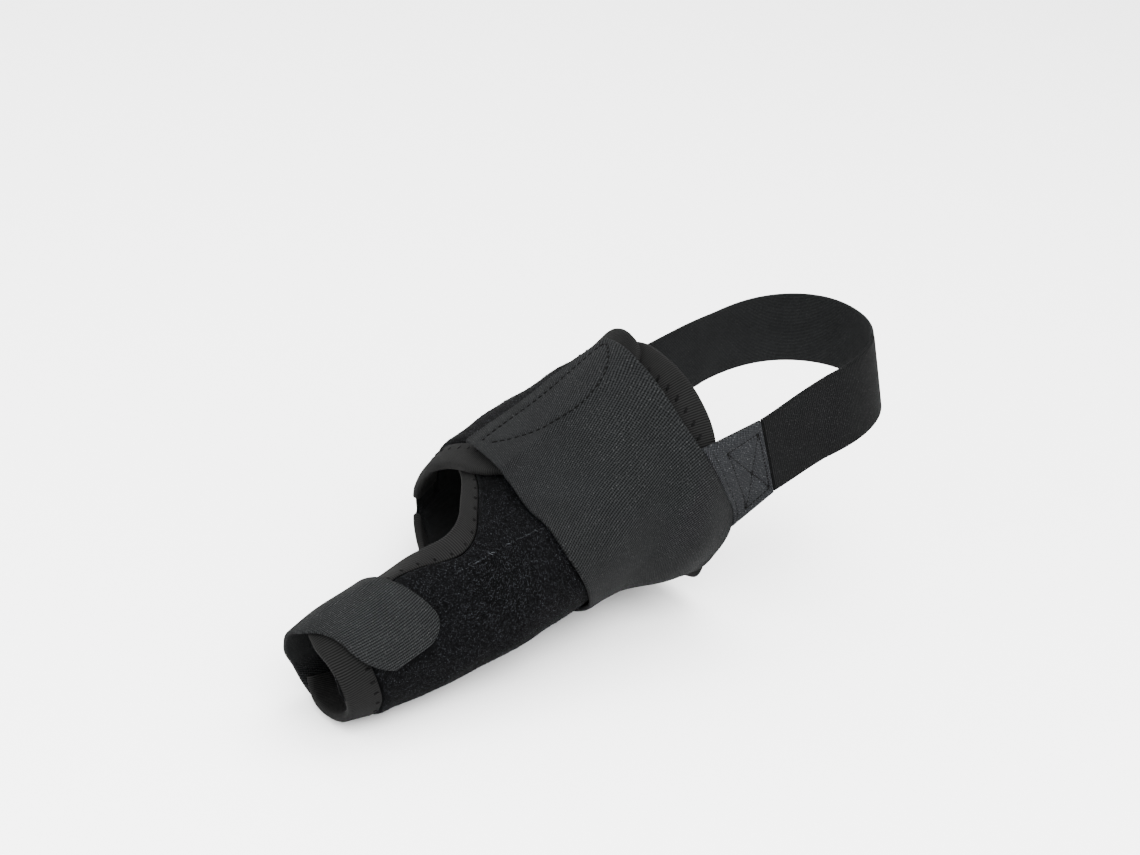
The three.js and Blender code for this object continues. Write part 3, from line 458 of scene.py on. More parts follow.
class Look:
    """A node material that is built up by short calls."""

    def __init__(self, name):
        self.material = bpy.data.materials.new(name)
        self.material.use_nodes = True
        self.nodes, self.links = self.material.node_tree.nodes, self.material.node_tree.links
        self.place = self.node("UVMap", {}, uv_map="cloth").outputs["UV"]

    def feed(self, node, inputs):
        """Each input gets its value, or a link from the socket that is given for it."""
        for key, value in inputs.items():
            if isinstance(value, bpy.types.NodeSocket):
                self.links.new(value, node.inputs[key])
            else:
                node.inputs[key].default_value = value

    def node(self, kind, inputs, **settings):
        made = self.nodes.new("ShaderNode" + kind)
        for key, value in settings.items():
            setattr(made, key, value)
        self.feed(made, inputs)
        return made

    def noise(self, scale, detail, rough):
        inputs = {"Vector": self.place, "Scale": scale, "Detail": detail, "Roughness": rough}
        return self.node("TexNoise", inputs).outputs["Fac"]

    def ribs(self, pitch, turn, wobble):
        """Even ribs of that pitch in millimetres, turned in the plane of the cloth."""
        turned = self.node("Mapping", {"Vector": self.place, "Rotation": (0, 0, turn * RAD)})
        inputs = {"Vector": turned.outputs["Vector"], "Scale": 2 * math.pi / (pitch * MM) / WAVE_UNIT,
                  "Distortion": wobble, "Detail": 1.0, "Detail Scale": 2.0}
        return self.node("TexWave", inputs).outputs["Fac"]

    def maths(self, operation, a, b):
        return self.node("Math", {0: a, 1: b}, operation=operation).outputs[0]

    def ramp(self, value, *stops):
        made = self.node("ValToRGB", {"Fac": value})
        ramp = made.color_ramp
        while len(ramp.elements) < len(stops):
            ramp.elements.new(0.5)
        for element, (place, colour) in zip(ramp.elements, stops):
            element.position = place
            element.color = (*colour, 1)
        return made.outputs["Color"]

    def blend(self, kind, share, a, b):
        inputs = {"Fac": share, "Color1": a, "Color2": b}
        return self.node("MixRGB", inputs, blend_type=kind).outputs["Color"]

    def clouds(self, shade, share, scale, detail, low, high):
        tone = self.ramp(self.noise(scale, detail, 0.6), (0.3, grey(low)), (0.7, grey(high)))
        return self.blend("MULTIPLY", share, shade, tone)

    def specks(self, shade, share, fibre, low, high, colour):
        return self.blend("ADD", share, shade, self.ramp(fibre, (low, grey(0)), (high, colour)))

    def bump(self, height, distance, strength, **more):
        inputs = {"Height": height, "Distance": distance * MM, "Strength": strength, **more}
        return self.node("Bump", inputs).outputs["Normal"]

    def finish(self, colour, roughness, specular, **more):
        inputs = {"Base Color": colour, "Roughness": roughness, "Specular IOR Level": specular, **more}
        self.feed(self.nodes["Principled BSDF"], inputs)
        return self.material


def grey(level, tint=(1, 1, 1)):
    return tuple(level * t for t in tint)


def strap_look(name, level, tint, rib_pitch, rib_turn, cross_pitch, specks):
    """Knitted strap: fine ribs, a finer cross thread, soft clouds and pale specks of fibre."""
    look = Look(name)
    rib = look.ribs(rib_pitch, rib_turn, 0.8)
    cross = look.ribs(cross_pitch, rib_turn + 90, 1.2)
    fibre = look.noise(1900, 2, 0.7)
    weave = look.maths("ADD", look.maths("MULTIPLY", rib, 0.65), look.maths("MULTIPLY", cross, 0.35))
    shade = look.ramp(weave, (0.2, grey(level * 0.16, tint)), (0.8, grey(level * 1.5, tint)))
    shade = look.clouds(shade, 0.55, 90, 4, 0.72, 1.18)
    shade = look.specks(shade, specks, fibre, 0.60, 0.68, grey(level * 5.0))
    normal = look.bump(weave, 0.22, 0.9)
    normal = look.bump(fibre, 0.10, 0.35, Normal=normal)
    return look.finish(shade, 0.95, 0.04, Normal=normal)


def tape_look(name, level, tint, pitch):
    """Ribbed tape: ribs across it, with painted shade between the ribs in its colour, and a slanted yarn in
    the bump.
    """
    look = Look(name)
    rib = look.ribs(pitch, 0, 0.15)
    yarn = look.ribs(0.42, 78, 1.5)
    fibre = look.noise(2200, 3, 0.7)
    # Painted shade: the colour goes dark between the ribs, where shade falls, on top of the ribs' own
    # relief
    shade = look.ramp(rib, (0.15, grey(level * 0.10, tint)), (0.85, grey(level * 1.7, tint)))
    shade = look.clouds(shade, 0.5, 120, 3, 0.75, 1.2)
    shade = look.specks(shade, 0.45, fibre, 0.62, 0.76, grey(level * 1.6))
    normal = look.bump(yarn, 0.05, 0.6)
    normal = look.bump(fibre, 0.08, 0.4, Normal=normal)
    return look.finish(shade, 0.92, 0.06, Normal=normal)


def loop_look(name, level, tint):
    """Brushed loop fabric: dark, with small pale loops of pile that catch the light."""
    look = Look(name)
    pile = look.noise(1700, 3, 0.65)
    clump = look.noise(700, 3, 0.6)
    shade = look.ramp(clump, (0.30, grey(level * 0.35, tint)), (0.72, grey(level * 1.7, tint)))
    shade = look.clouds(shade, 0.6, 60, 3, 0.6, 1.3)
    shade = look.specks(shade, 0.8, pile, 0.60, 0.68, grey(level * 28.0, tint))
    normal = look.bump(clump, 0.4, 0.7)
    normal = look.bump(pile, 0.25, 0.7, Normal=normal)
    return look.finish(shade, 0.97, 0.02, Normal=normal)


def thread_look(name, dark, pale):
    """Thread or fibre whose pieces are mostly dark, with a few pale ones."""
    look = Look(name)
    tone = look.node("TexWhiteNoise", {"Vector": look.place}, noise_dimensions="2D").outputs["Value"]
    middle = tuple(mix(a, b, 0.12) for a, b in zip(dark, pale))
    return look.finish(look.ramp(tone, (0, dark), (0.7, middle), (1, pale)), 0.8, 0.05)


COOL = (0.94, 1.0, 1.03)
BLUE = (0.92, 0.98, 1.08)
WARM = (0.99, 1.0, 0.98)
arch_cloth = strap_look("arch_strap_knit", 0.0058, COOL, 0.82, -30, 0.66, 0.55)
toe_cloth = strap_look("toe_strap_knit", 0.0072, COOL, 0.70, -14, 0.60, 0.5)
heel_cloth = strap_look("heel_elastic", 0.0026, COOL, 0.75, 0, 0.55, 0.9)
end_cloth = strap_look("heel_end_knit", 0.0065, COOL, 0.60, 90, 0.45, 0.25)
tab_cloth = strap_look("heel_tab_cloth", 0.0100, BLUE, 0.70, 45, 0.60, 0.8)
tape_cloth = tape_look("binding_tape", 0.0036, WARM, 0.80)
loop_cloth = loop_look("loop_fabric", 0.0009, BLUE)
lining_cloth = strap_look("pad_lining", 0.0050, COOL, 0.55, 0, 0.45, 0.15)
hook_cloth = strap_look("hook_tape", 0.0040, COOL, 0.60, 0, 0.60, 0.6)
black_thread = thread_look("black_thread", grey(0.0003), grey(0.0008))
fibre_look = thread_look("loop_fibres", (0.0004, 0.0005, 0.0006), (0.026, 0.028, 0.032))
pale_thread = thread_look("ridge_thread", (0.002, 0.0022, 0.0025), (0.026, 0.028, 0.031))


# Body pad

PRESS_FROM, PRESS_TO, BULGE, BULGE_AT, BULGE_SPREAD = 9.9, 11.2, 0.55, 12.6, 2.2
RIDGE_CLEAR, RIDGE_CLEAR_RUN, LUMPS_CLEAR, LUMPS_CLEAR_RUN = 11, 2, 13, 8
LUMP_WAVES = ((1.7, 0.6, 0), (0.8, -1.9, 1.3), (2.6, 2.2, 0.7))
LUMP_TURN_SHARE = 0.75
UNBOUND = 99.0


def soft_lumps(along, turn, size, height):
    """Low waves that a soft layer has, from a few crossed sines."""
    a, b = along / size, turn / size * LUMP_TURN_SHARE
    return height * sum(np.sin(a * p + b * q + start) for p, q, start in LUMP_WAVES) / len(LUMP_WAVES)


def pad_profile(inset):
    """Outer face of the pad at a distance from a bound edge: pressed, then swelling beside the tape."""
    swell = BULGE * bell(inset - BULGE_AT, BULGE_SPREAD)
    return mix(CORE_HIGH, PAD_WALL + swell, smooth((inset - PRESS_FROM) / (PRESS_TO - PRESS_FROM)))


# Distances of the grid's lines from a bound edge, close together beside the tape, and the counts of
# lines between them
NEAR = np.array([CORE_INSET, 4, 7, 9.4, 9.9, 10.2, 10.5, 10.8, 11.2, 11.7, 12.3, 13, 14, 15.2, 16.6])
TONGUE_MID, BAND_MID, TONGUE_LONG, FLAP_MID = 90, 34, 70, 84
BLEND_ROWS = 14
TONGUE_GUIDE = 0.90 * FOOT_LENGTH


def tongue_turns(along):
    """Turns of the tongue's columns at each place along: shape (places, columns)."""
    along = np.atleast_1d(along)
    top, sole = tongue_top(along), tongue_sole(along)
    top_length = turn_length(along, top - EDGE_TURN)
    sole_length = turn_length(along, sole + EDGE_TURN)
    upper = top[:, None] - NEAR / top_length[:, None]
    lower = (sole[:, None] + NEAR / sole_length[:, None])[:, ::-1]
    middle = mix(upper[:, -1:], lower[:, :1], np.linspace(0, 1, TONGUE_MID + 2)[1:-1])
    return np.concatenate([upper, middle, lower], 1)


def band_rows(rear, front, in_flap):
    """Rows of the wrap round the foot: up to the tongue, and in the flap up to its front edge."""
    reach = np.where(in_flap, front - NEAR[-1], front)
    flap_shares = np.linspace(0, 1, BAND_MID + 1)[1:]
    rows = [rear + inset for inset in NEAR]
    for i, share in enumerate(np.linspace(0, 1, BAND_MID + len(NEAR) + 1)[1:]):
        plain = mix(rear + NEAR[-1], reach, share)
        if i < BAND_MID:
            closing = mix(rear + NEAR[-1], reach, flap_shares[i])
        else:
            closing = front - NEAR[::-1][i - BAND_MID]
        rows.append(np.where(in_flap, closing, plain))
    return np.array(rows)


def tongue_rows(end, columns):
    """Rows of the tongue round the big toe, as along and turn."""
    ahead = [mix(TONGUE_FROM, end - NEAR[-1], share) for share in np.linspace(0, 1, TONGUE_LONG + 1)[1:]]
    along = np.array(ahead + [end - inset for inset in NEAR[::-1][1:]])
    return along, np.stack([tongue_turns(along[:, c])[:, c] for c in range(columns)], 1)


def tongue_inset(along, turn, end):
    """Distance from the nearest edge of the tongue."""
    top, sole = tongue_top(along), tongue_sole(along)
    to_top = (top - turn) * turn_length(along, top - EDGE_TURN)
    to_sole = (turn - sole) * turn_length(along, sole + EDGE_TURN)
    return np.minimum(np.minimum(to_top, to_sole), end - along)


def body_grid():
    """Along, turn and distance from the edge over the pad, and the cells of the grid that are cloth."""
    start = tongue_turns(TONGUE_FROM)[0]
    first = len(start)
    turns = np.concatenate([start, np.linspace(TONGUE_LOW, FLAP_END, FLAP_MID + 1)[1:]])
    in_flap = np.arange(len(turns)) >= first
    rear = body_rear(turns)
    front = np.where(in_flap, flap_front(turns), TONGUE_FROM)
    band_along = band_rows(rear, front, in_flap)
    band = len(band_along)
    end = toe_front(tongue_turns(TONGUE_GUIDE)[0])
    tongue_along, tongue_turn = tongue_rows(end, first)
    beside = ((0, 0), (0, len(turns) - first))
    along = np.concatenate([band_along, np.pad(tongue_along, beside, "edge")])
    turn = np.concatenate([np.broadcast_to(turns, band_along.shape), np.pad(tongue_turn, beside, "edge")])
    inset = np.full(along.shape, UNBOUND)
    inset[:band] = band_along - rear
    inset[:band, first:] = np.minimum(inset[:band, first:], (front - band_along)[:, first:])
    inset[band:, :first] = tongue_inset(tongue_along, tongue_turn, end)
    for back in range(1, BLEND_ROWS + 1):
        own = inset[band - back, :first]
        share = smooth(1 - back / BLEND_ROWS)
        inset[band - back, :first] = mix(own, np.minimum(own, inset[band, :first]), share)
    keep = np.ones((along.shape[0] - 1, along.shape[1] - 1), bool)
    keep[band - 1:, first - 1:] = False
    return along, turn, inset, keep


def make_body(along, turn, inset, keep):
    rise = body_rise(along, turn)
    outer_off = pad_profile(inset)
    outer_off += pocket_ridge(along, turn) * smooth((inset - RIDGE_CLEAR) / RIDGE_CLEAR_RUN)
    clear = smooth((inset - LUMPS_CLEAR) / LUMPS_CLEAR_RUN)
    outer_off += clear * soft_lumps(along, turn, size=6.0, height=0.22)
    inner_off = mix(CORE_LOW, 0.0, smooth((inset - PRESS_FROM) / (PRESS_TO - PRESS_FROM)))
    outer, inner = lifted(along, turn, rise + outer_off), lifted(along, turn, rise + inner_off)
    piece = wall("body_loop_pad", outer, inner, loop_cloth, "loop_fabric", keep)
    piece.data.materials.append(lining_cloth)
    faces = np.zeros(len(piece.data.polygons), np.int32)
    faces[keep.sum():2 * keep.sum()] = 1
    piece.data.polygons.foreach_set("material_index", faces)
    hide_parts("body_pad")
    return piece, outer


body_along, body_turn, body_inset, body_kept = body_grid()
body, body_outer = make_body(body_along, body_turn, body_inset, body_kept)


# Pile: short curled fibres on the pad's visible outer face

PILE_FROM = 10.6
STRAP_HIDES, TOE_STRAP_HIDES, ARCH_HIDES_TO, TAB_HIDES_FROM = .008, .010, 132, 10
FLAP_SHOWS_FROM, FLAP_SHOWS_TO, FLAP_END_MARGIN = -190, 60, 2
FLAP_HIDES_FROM, FLAP_HIDES_TO = 92, .66
ARCH_END_AT, ARCH_END_RUN = .42, .2
# Steps of a fibre: share of its length, of its lift and of its width
PILE_STEPS = ((0, -.05, 1), (.35, .8, 1), (.7, .9, .8), (1, .15, .5))
PILE_LIFT, PILE_LIFT_RANGE, PILE_CURL = 0.15, 0.35, 0.5


def under(strap, at, turn, rear_margin=STRAP_HIDES):
    hidden = at > curve(strap, "turn", "rear", turn) + rear_margin
    return hidden & (at < curve(strap, "turn", "front", turn) - STRAP_HIDES)


def under_straps(along, turn):
    """Where another layer hides the pad, so that no pile is made."""
    at, over = along / FOOT_LENGTH, turn + 360
    arch = (turn > ARCH_STRAP_START) & (turn < ARCH_HIDES_TO) & under(ARCH_STRAP, at, turn)
    strap_end = curve(ARCH_END, "share", "turn", (at - ARCH_END_AT) / ARCH_END_RUN) - FLAP_END_MARGIN
    on_flap = (turn < FLAP_SHOWS_FROM) & (over > FLAP_SHOWS_TO) & (over < strap_end)
    toe = (turn > TAB_HIDES_FROM) & under(TOE_STRAP, at, turn, TOE_STRAP_HIDES)
    under_flap = (turn > FLAP_HIDES_FROM) & (at < FLAP_HIDES_TO)
    return arch | (on_flap & under(ARCH_STRAP, at, over)) | under_flap | toe


def make_pile(count, length, width):
    p = body_outer
    area = np.linalg.norm(np.cross(p[1:, :-1] - p[:-1, :-1], p[:-1, 1:] - p[:-1, :-1]), axis=-1)
    bare = (body_inset > PILE_FROM) & ~under_straps(body_along, body_turn)
    area = np.where(body_kept & bare[:-1, :-1], area, 0).ravel()
    chosen = random.choice(len(area), count, p=area / area.sum())
    r, c = np.unravel_index(chosen, body_kept.shape)
    s, t = random.rand(2, count, 1)
    base = mix(mix(p[r, c], p[r + 1, c], s), mix(p[r, c + 1], p[r + 1, c + 1], s), t)
    normal = unit(np.cross(p[r + 1, c] - p[r, c], p[r, c + 1] - p[r, c]))
    lie = unit(np.cross(normal, random.normal(size=(count, 3))))
    side = np.cross(normal, lie)
    long = length * (0.5 + random.rand(count, 1))
    lift = PILE_LIFT + PILE_LIFT_RANGE * random.rand(count, 1)
    curl = random.normal(size=(count, 1)) * PILE_CURL
    points = []
    for share, high, thin in PILE_STEPS:
        at = base + lie * long * share + side * long * curl * share**2 + normal * long * lift * high
        wide = side * width * thin / 2
        points += [at - wide, at + wide]
    each = len(points)
    points = np.stack(points, 1).reshape(-1, 3)
    strip = [[k, k + 1, k + 3, k + 2] for k in range(0, each - 2, 2)]
    faces = repeated(strip, count, each)
    return finish_mesh("loop_pile", points, faces, own_tones(count, each), fibre_look, "loop_fabric")


pile = make_pile(count=32000, length=0.38, width=0.10)


# Bindings: ribbed tape folded over the cut edges

RIB_PITCH, RIB_HEIGHT, RIB_SAMPLES = 0.80, 0.10, 4
# Waves along a tape: height, run for one radian, start
TAPE_RIPPLES = ((0.09, 5.1, 0), (0.06, 2.3, 1))
RIPPLE_FROM, RIPPLE_RUN = 2, 5
# Columns of the tape's upper leg and lower leg, as insets of the outer and the inner face
TAPE_UPPER = table(
    "outer sink inner",
    (10.0, .40, 9.95), (9.85, .14, 9.8), (9.5, .02, 9.45), (8.6, 0, 8.6), (7.0, 0, 7.0), (5.0, .02, 5.0),
    (3.0, .03, 3.0), (1.7, .03, 1.9),
)
TAPE_LOWER = table("outer rise inner", (2.2, 0, 2.2), (5.0, 0, 5.0), (9.4, 0, 9.3), (10.0, 0.15, 9.95))
BEND, BEND_SINK, BEND_ANGLES = 1.35, 0.02, (75, 50, 25, 0, -25, -50, -75)


def tape_profile():
    """Columns across the tape, as (inset, off), of its outer face and of its inner face."""
    def bend(reach, sink):
        middle = PAD_WALL / 2
        return [(BEND - reach * math.cos(angle * RAD), middle + (middle - sink) * math.sin(angle * RAD))
                for angle in BEND_ANGLES]

    outer = [*zip(TAPE_UPPER["outer"], PAD_WALL - TAPE_UPPER["sink"]), *bend(BEND, BEND_SINK),
             *zip(TAPE_LOWER["outer"], TAPE_LOWER["rise"])]
    inner = [*((inset, PAD_WALL - TAPE_WALL) for inset in TAPE_UPPER["inner"]),
             *bend(BEND - TAPE_WALL, TAPE_WALL), *((inset, TAPE_WALL) for inset in TAPE_LOWER["inner"])]
    return np.array(outer), np.array(inner)


TAPE_OUTER, TAPE_INNER = tape_profile()
RIBBED_COLUMNS = len(TAPE_UPPER["outer"]) + len(BEND_ANGLES)
TAPE_MIDDLE = 4.0


def make_tape(name, place_at, coarse, node):
    """Tape on an edge: place_at(station, inset) gives along and turn, and stations go from 0 to 1."""
    guess = np.linspace(0, 1, coarse)
    along, turn = place_at(guess, TAPE_MIDDLE)
    middle = lifted(along, turn, body_rise(along, turn) + PAD_WALL)
    run = run_along(middle)
    ribs = max(int(run[-1] / RIB_PITCH), 4)
    fine = np.linspace(0, run[-1], ribs * RIB_SAMPLES + 1)
    stations = np.interp(fine, run, guess)
    rib = RIB_HEIGHT * (0.5 + 0.5 * np.cos(fine / run[-1] * ribs * 2 * math.pi))
    ripple = sum(height * np.sin(fine / unit + start) for height, unit, start in TAPE_RIPPLES)
    faces = []
    for profile, ribbed in ((TAPE_OUTER, RIBBED_COLUMNS), (TAPE_INNER, 0)):
        columns = []
        for k, (inset, off) in enumerate(profile):
            along, turn = place_at(stations, inset)
            wave = rib - RIB_HEIGHT + ripple * smooth((inset - RIPPLE_FROM) / RIPPLE_RUN)
            lift = off + wave * (k < ribbed)
            columns.append(lifted(along, turn, body_rise(along, turn) + lift))
        faces.append(np.stack(columns, 0))
    across = run_along(TAPE_OUTER)[:, None]
    uv = np.stack(np.broadcast_arrays(fine[None] / run[-1] * ribs * RIB_PITCH, across), -1)
    piece = wall(name, faces[0], faces[1], tape_cloth, "binding_tape", uv=uv)
    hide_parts(node)
    return piece, float(run[-1])


# Turns where the edges begin, and how far the side tapes stay clear of the toe's tape
REAR_FROM, FLAP_FROM = 146, -176.3
TOP_CORNER, SOLE_CORNER, SIDE_SHORT = 84.0, -130.0, 11.5


def rear_place(share, inset):
    turn = np.interp(share, [0, 1], [REAR_FROM, FLAP_END])
    return body_rear(turn) + inset, turn


def flap_place(share, inset):
    turn = np.interp(share, [0, 1], [FLAP_FROM, FLAP_END])
    return flap_front(turn) - inset, turn


def side_place(top):
    corner, edge_turn, inward = (TOP_CORNER, tongue_top, -1) if top else (SOLE_CORNER, tongue_sole, 1)

    def place(share, inset):
        along = mix(TONGUE_FROM, toe_front(corner) - SIDE_SHORT, share)
        edge = edge_turn(along)
        return along, edge + inward * inset / turn_length(along, edge + inward * EDGE_TURN)
    return place


def toe_place(share, inset):
    turns = tongue_turns(TONGUE_GUIDE)[0]
    turn = np.interp(share, [0, 1], [turns[0], turns[-1]])
    along = toe_front(turn) - inset
    guide_top, guide_sole = tongue_top(TONGUE_GUIDE), tongue_sole(TONGUE_GUIDE)
    return along, mix(tongue_top(along), tongue_sole(along), (guide_top - turn) / (guide_top - guide_sole))


rear_tape, rear_long = make_tape("rear_edge_binding", rear_place, 600, "rear_binding")
flap_tape, flap_long = make_tape("flap_edge_binding", flap_place, 300, "flap_binding")
opening_tape, opening_long = make_tape("opening_edge_binding", side_place(True), 300, "opening_binding")
sole_tape, sole_long = make_tape("sole_edge_binding", side_place(False), 300, "sole_binding")
toe_tape, toe_long = make_tape("toe_edge_binding", toe_place, 300, "toe_binding")


# Straps

EDGE_LINES = (0, .08, .2, .4, .7, 1.1, 1.7)
TAB_EDGE_LINES = (0, .05, .15, .3, .5, .8, 1.2, 1.7, 2.3, 3.0, 3.8, 4.8, 6.0)
HEM_HEIGHT, HEM_AT, HEM_SPREAD = 0.10, 1.6, 0.8


def near_ends(count, length, lines=EDGE_LINES):
    """Shares from 0 to 1, close together beside both ends."""
    inset = np.array(lines) / length
    middle = np.linspace(inset[-1], 1 - inset[-1], count)
    return np.concatenate([inset[:-1], middle, 1 - inset[:-1][::-1]])


def strap_grid(rows, columns, width, length, lines=EDGE_LINES):
    """Shares across and along a strap, and each place's distance from the edge."""
    s, t = np.meshgrid(near_ends(rows, width, lines), near_ends(columns, length), indexing="ij")
    return s, t, np.minimum(np.minimum(s, 1 - s) * width, np.minimum(t, 1 - t) * length)


ARCH_WIDTH, ARCH_LENGTH = 52.0, 205.0
# Millimetres of cloth that stand for one degree of turn in the weave
ARCH_DEGREE, TOE_DEGREE = 0.68, 0.33
HOOK_LENGTH, HOOK_WIDTH = 38.0, 20.0
HEEL_STRAP_LENGTH, HEEL_END_LENGTH, TAB_LENGTH = 55.0, 145.0, 28.0
SEAM_POINTS, SEAM_HALF, SEAM_IN, SEAM_SINK = 60, 0.44, 0.012, 0.05
CORNER_CUTS, STITCH_SINK = 4, 0.16
STITCH_D = table(
    "along turn",
    (146.3, 120.5), (144.3, 120.9), (137.5, 118.6), (131.1, 115.5), (124.0, 111.0), (117.4, 107.0),
    (110.0, 104.2), (104.0, 102.6), (102.6, 99.8), (104.3, 96.0), (107.1, 90.8), (111.7, 86.2),
    (116.3, 84.4), (121.4, 84.2), (127.7, 87.2), (135.1, 91.4), (142.0, 101.1), (146.0, 112.5),
)


def resample(points, step):
    """Evenly spaced places along a line of points, counted in points."""
    run = run_along(points)
    count = max(int(run[-1] / step), 2)
    return np.interp(np.linspace(0, run[-1], count + 1), run, np.arange(len(points)))


def smooth_line(along, turn):
    """Rounded line along table rows, by cutting its corners again and again."""
    line = np.stack([along, turn], 1)
    for _ in range(CORNER_CUTS):
        cut = np.empty((2 * len(line) - 2, 2))
        cut[0::2] = mix(line[:-1], line[1:], 0.25)
        cut[1::2] = mix(line[:-1], line[1:], 0.75)
        line = np.concatenate([line[:1], cut, line[-1:]])
    return line[:, 0], line[:, 1]


def groove(points, line, depth, width):
    """Dent that stitches pull along a line."""
    flat = points.reshape(-1, 3)
    best = np.full(len(flat), 1e9)
    for p in line:
        best = np.minimum(best, ((flat - p) ** 2).sum(1))
    return (depth * np.exp(-best / width ** 2)).reshape(points.shape[:2])


def dashes(points, normals, step, fill):
    """Starts, ends and normals of dashes along a line in space."""
    shares = resample(points, step)
    index = np.arange(len(points))

    def pick(values, at):
        return np.stack([np.interp(at, index, values[:, k]) for k in range(3)], 1)

    starts = shares[:-1]
    ends = starts + (shares[1:] - shares[:-1]) * fill
    return pick(points, starts), pick(points, ends), pick(normals, (starts + ends) / 2)


threads = []


def add_threads(starts, ends, normals, radius):
    threads.append((starts, ends, normals, np.full((len(starts), 1), radius)))


def sew(points, normals, step, fill, radius=0.34):
    add_threads(*dashes(points, normals, step, fill), radius)


def strap(name, place, edge, thickness, relief, material, slot, uv=None):
    """Strap with rounded edges: place(off) gives its surface at a height over what it lies on."""
    drop = rounded(edge, thickness)
    return wall(name, place(thickness - drop + relief), place(drop), material, slot, uv=uv)


def make_arch():
    s, t, edge = strap_grid(56, 250, ARCH_WIDTH, ARCH_LENGTH)
    turn = arch_turn(s, t)
    along = mix(arch_rear(turn), arch_front(turn), s)
    base = arch_off(along, turn)
    line = smooth_line(STITCH_D["along"], STITCH_D["turn"])
    on_cloth = arch_off(*line) + ARCH_STRAP_WALL
    plain = lifted(along, turn, base + ARCH_STRAP_WALL)
    relief = HEM_HEIGHT * bell(np.minimum(s, 1 - s) * ARCH_WIDTH - HEM_AT, HEM_SPREAD)
    relief -= groove(plain, lifted(*line, on_cloth)[::4], depth=0.38, width=1.0)
    relief += soft_lumps(along, turn, size=7.0, height=0.10) * smooth(edge / 4)
    piece = strap("arch_strap_knit", lambda off: lifted(along, turn, base + off), edge, ARCH_STRAP_WALL,
                  relief, arch_cloth, "strap_knit", np.stack([turn * ARCH_DEGREE, along], -1))
    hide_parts("arch_strap")
    sew(lifted(*line, on_cloth - STITCH_SINK), outward(*line), step=2.3, fill=0.68)
    return piece


def make_hook_patch():
    u, v, edge = strap_grid(40, 24, HOOK_LENGTH, HOOK_WIDTH)
    at = mix(HOOK_PATCH["at"][0], HOOK_PATCH["at"][-1], u)
    turn = mix(curve(HOOK_PATCH, "at", "low", at), curve(HOOK_PATCH, "at", "high", at), v)
    base = ON_FLAP + 0.5 * STRAP_EASE
    piece = strap("hook_patch", lambda off: lifted(at * FOOT_LENGTH, turn, base + off), edge, HOOK_WALL,
                  0, hook_cloth, "hook_tape")
    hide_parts("arch_hook_patch")
    return piece


def toe_strap_place(s, t):
    to_side = np.minimum(s, 1 - s) * TOE_TAB_WIDTH
    into = np.maximum(TOE_TAB_CORNER - to_side, 0)
    cut = TOE_TAB_CORNER - np.sqrt(TOE_TAB_CORNER ** 2 - into ** 2)
    degrees = 1 / turn_length(TOE_TAB_AT, TOE_TAB_TURN)
    tip = TOE_STRAP_TIP + TOE_TAB_SLANT * (1 - s) + cut * degrees
    turn = mix(tip, TOE_STRAP_START, t)
    off = mix(curve(TOE_STRAP, "turn", "offRear", turn), curve(TOE_STRAP, "turn", "offFront", turn), s)
    return mix(toe_strap_rear(turn), toe_strap_front(turn), s), turn, off * ON_STRAP


def make_toe_strap():
    s, t, edge = strap_grid(24, 170, TOE_TAB_WIDTH, TOE_STRAP_LENGTH, TAB_EDGE_LINES)
    along, turn, base = toe_strap_place(s, t)
    relief = soft_lumps(along, turn, size=5.0, height=0.08) * smooth(edge / 3)
    piece = strap("toe_strap_knit", lambda off: lifted(along, turn, base + off), edge, TOE_STRAP_WALL,
                  relief, toe_cloth, "strap_knit", np.stack([turn * TOE_DEGREE, along], -1))
    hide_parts("toe_strap")
    return piece


def heel_grid(from_run, to_run, stations, length):
    s, t, edge = strap_grid(26, stations, HEEL_STRAP_WIDTH, length)
    return s - 0.5, mix(from_run, to_run, t) * FOOT_LENGTH, edge


def slack(run, share, edge, height, unit, slant):
    """Slight waves of a strap under tension, none at its edges."""
    return height * np.sin(run / unit + share * slant) * smooth(edge / 4)


def make_heel_strap():
    share, run, edge = heel_grid(TAB_END_RUN, HEEL_SEAM_RUN, 80, HEEL_STRAP_LENGTH)
    waves = slack(run, share, edge, height=0.12, unit=7.0, slant=2)
    piece = strap("heel_strap_elastic",
                  lambda off: heel_place(run, share * HEEL_STRAP_WIDTH, HEEL_STRAP_OFF + off),
                  edge, HEEL_STRAP_WALL, waves, heel_cloth, "heel_elastic")
    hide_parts("heel_strap")
    return piece


def heel_end_place(run, share, off):
    free = heel_place(run, share * HEEL_STRAP_WIDTH, HEEL_STRAP_OFF + off)
    along = free[..., 0] + ORIGIN_FROM_HEEL
    turn = mix(HOOK_TURN_LOW, HOOK_TURN_HIGH, share + 0.5)
    laid = lifted(along, turn, body_rise(along, turn) + ON_PAD + STRAP_EASE + off)
    hooked = smooth((along - HOOK_ON_FROM) / (HOOK_ON_TO - HOOK_ON_FROM))
    hooked = np.where((run > 0) | (along < HOOK_ON_FROM), 0, hooked)[..., None]
    return free * (1 - hooked) + laid * hooked


def make_heel_end():
    from_run = HEEL_SEAM_RUN + SEAM_GAP / FOOT_LENGTH
    share, run, edge = heel_grid(from_run, HEEL_HOOK_RUN, 190, HEEL_END_LENGTH)
    waves = slack(run, share, edge, height=0.10, unit=9.0, slant=3)
    piece = strap("heel_strap_smooth_end", lambda off: heel_end_place(run, share, off), edge,
                  HEEL_END_WALL, waves, end_cloth, "heel_smooth")
    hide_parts("heel_strap_end")
    seam_share = np.linspace(-SEAM_HALF, SEAM_HALF, SEAM_POINTS)
    seam_run = (HEEL_SEAM_RUN - SEAM_IN) * FOOT_LENGTH
    line = heel_end_place(seam_run, seam_share, HEEL_END_WALL - SEAM_SINK)
    below = heel_end_place(seam_run, seam_share, 0)
    sew(line, line - below, step=2.0, fill=0.6)
    return piece


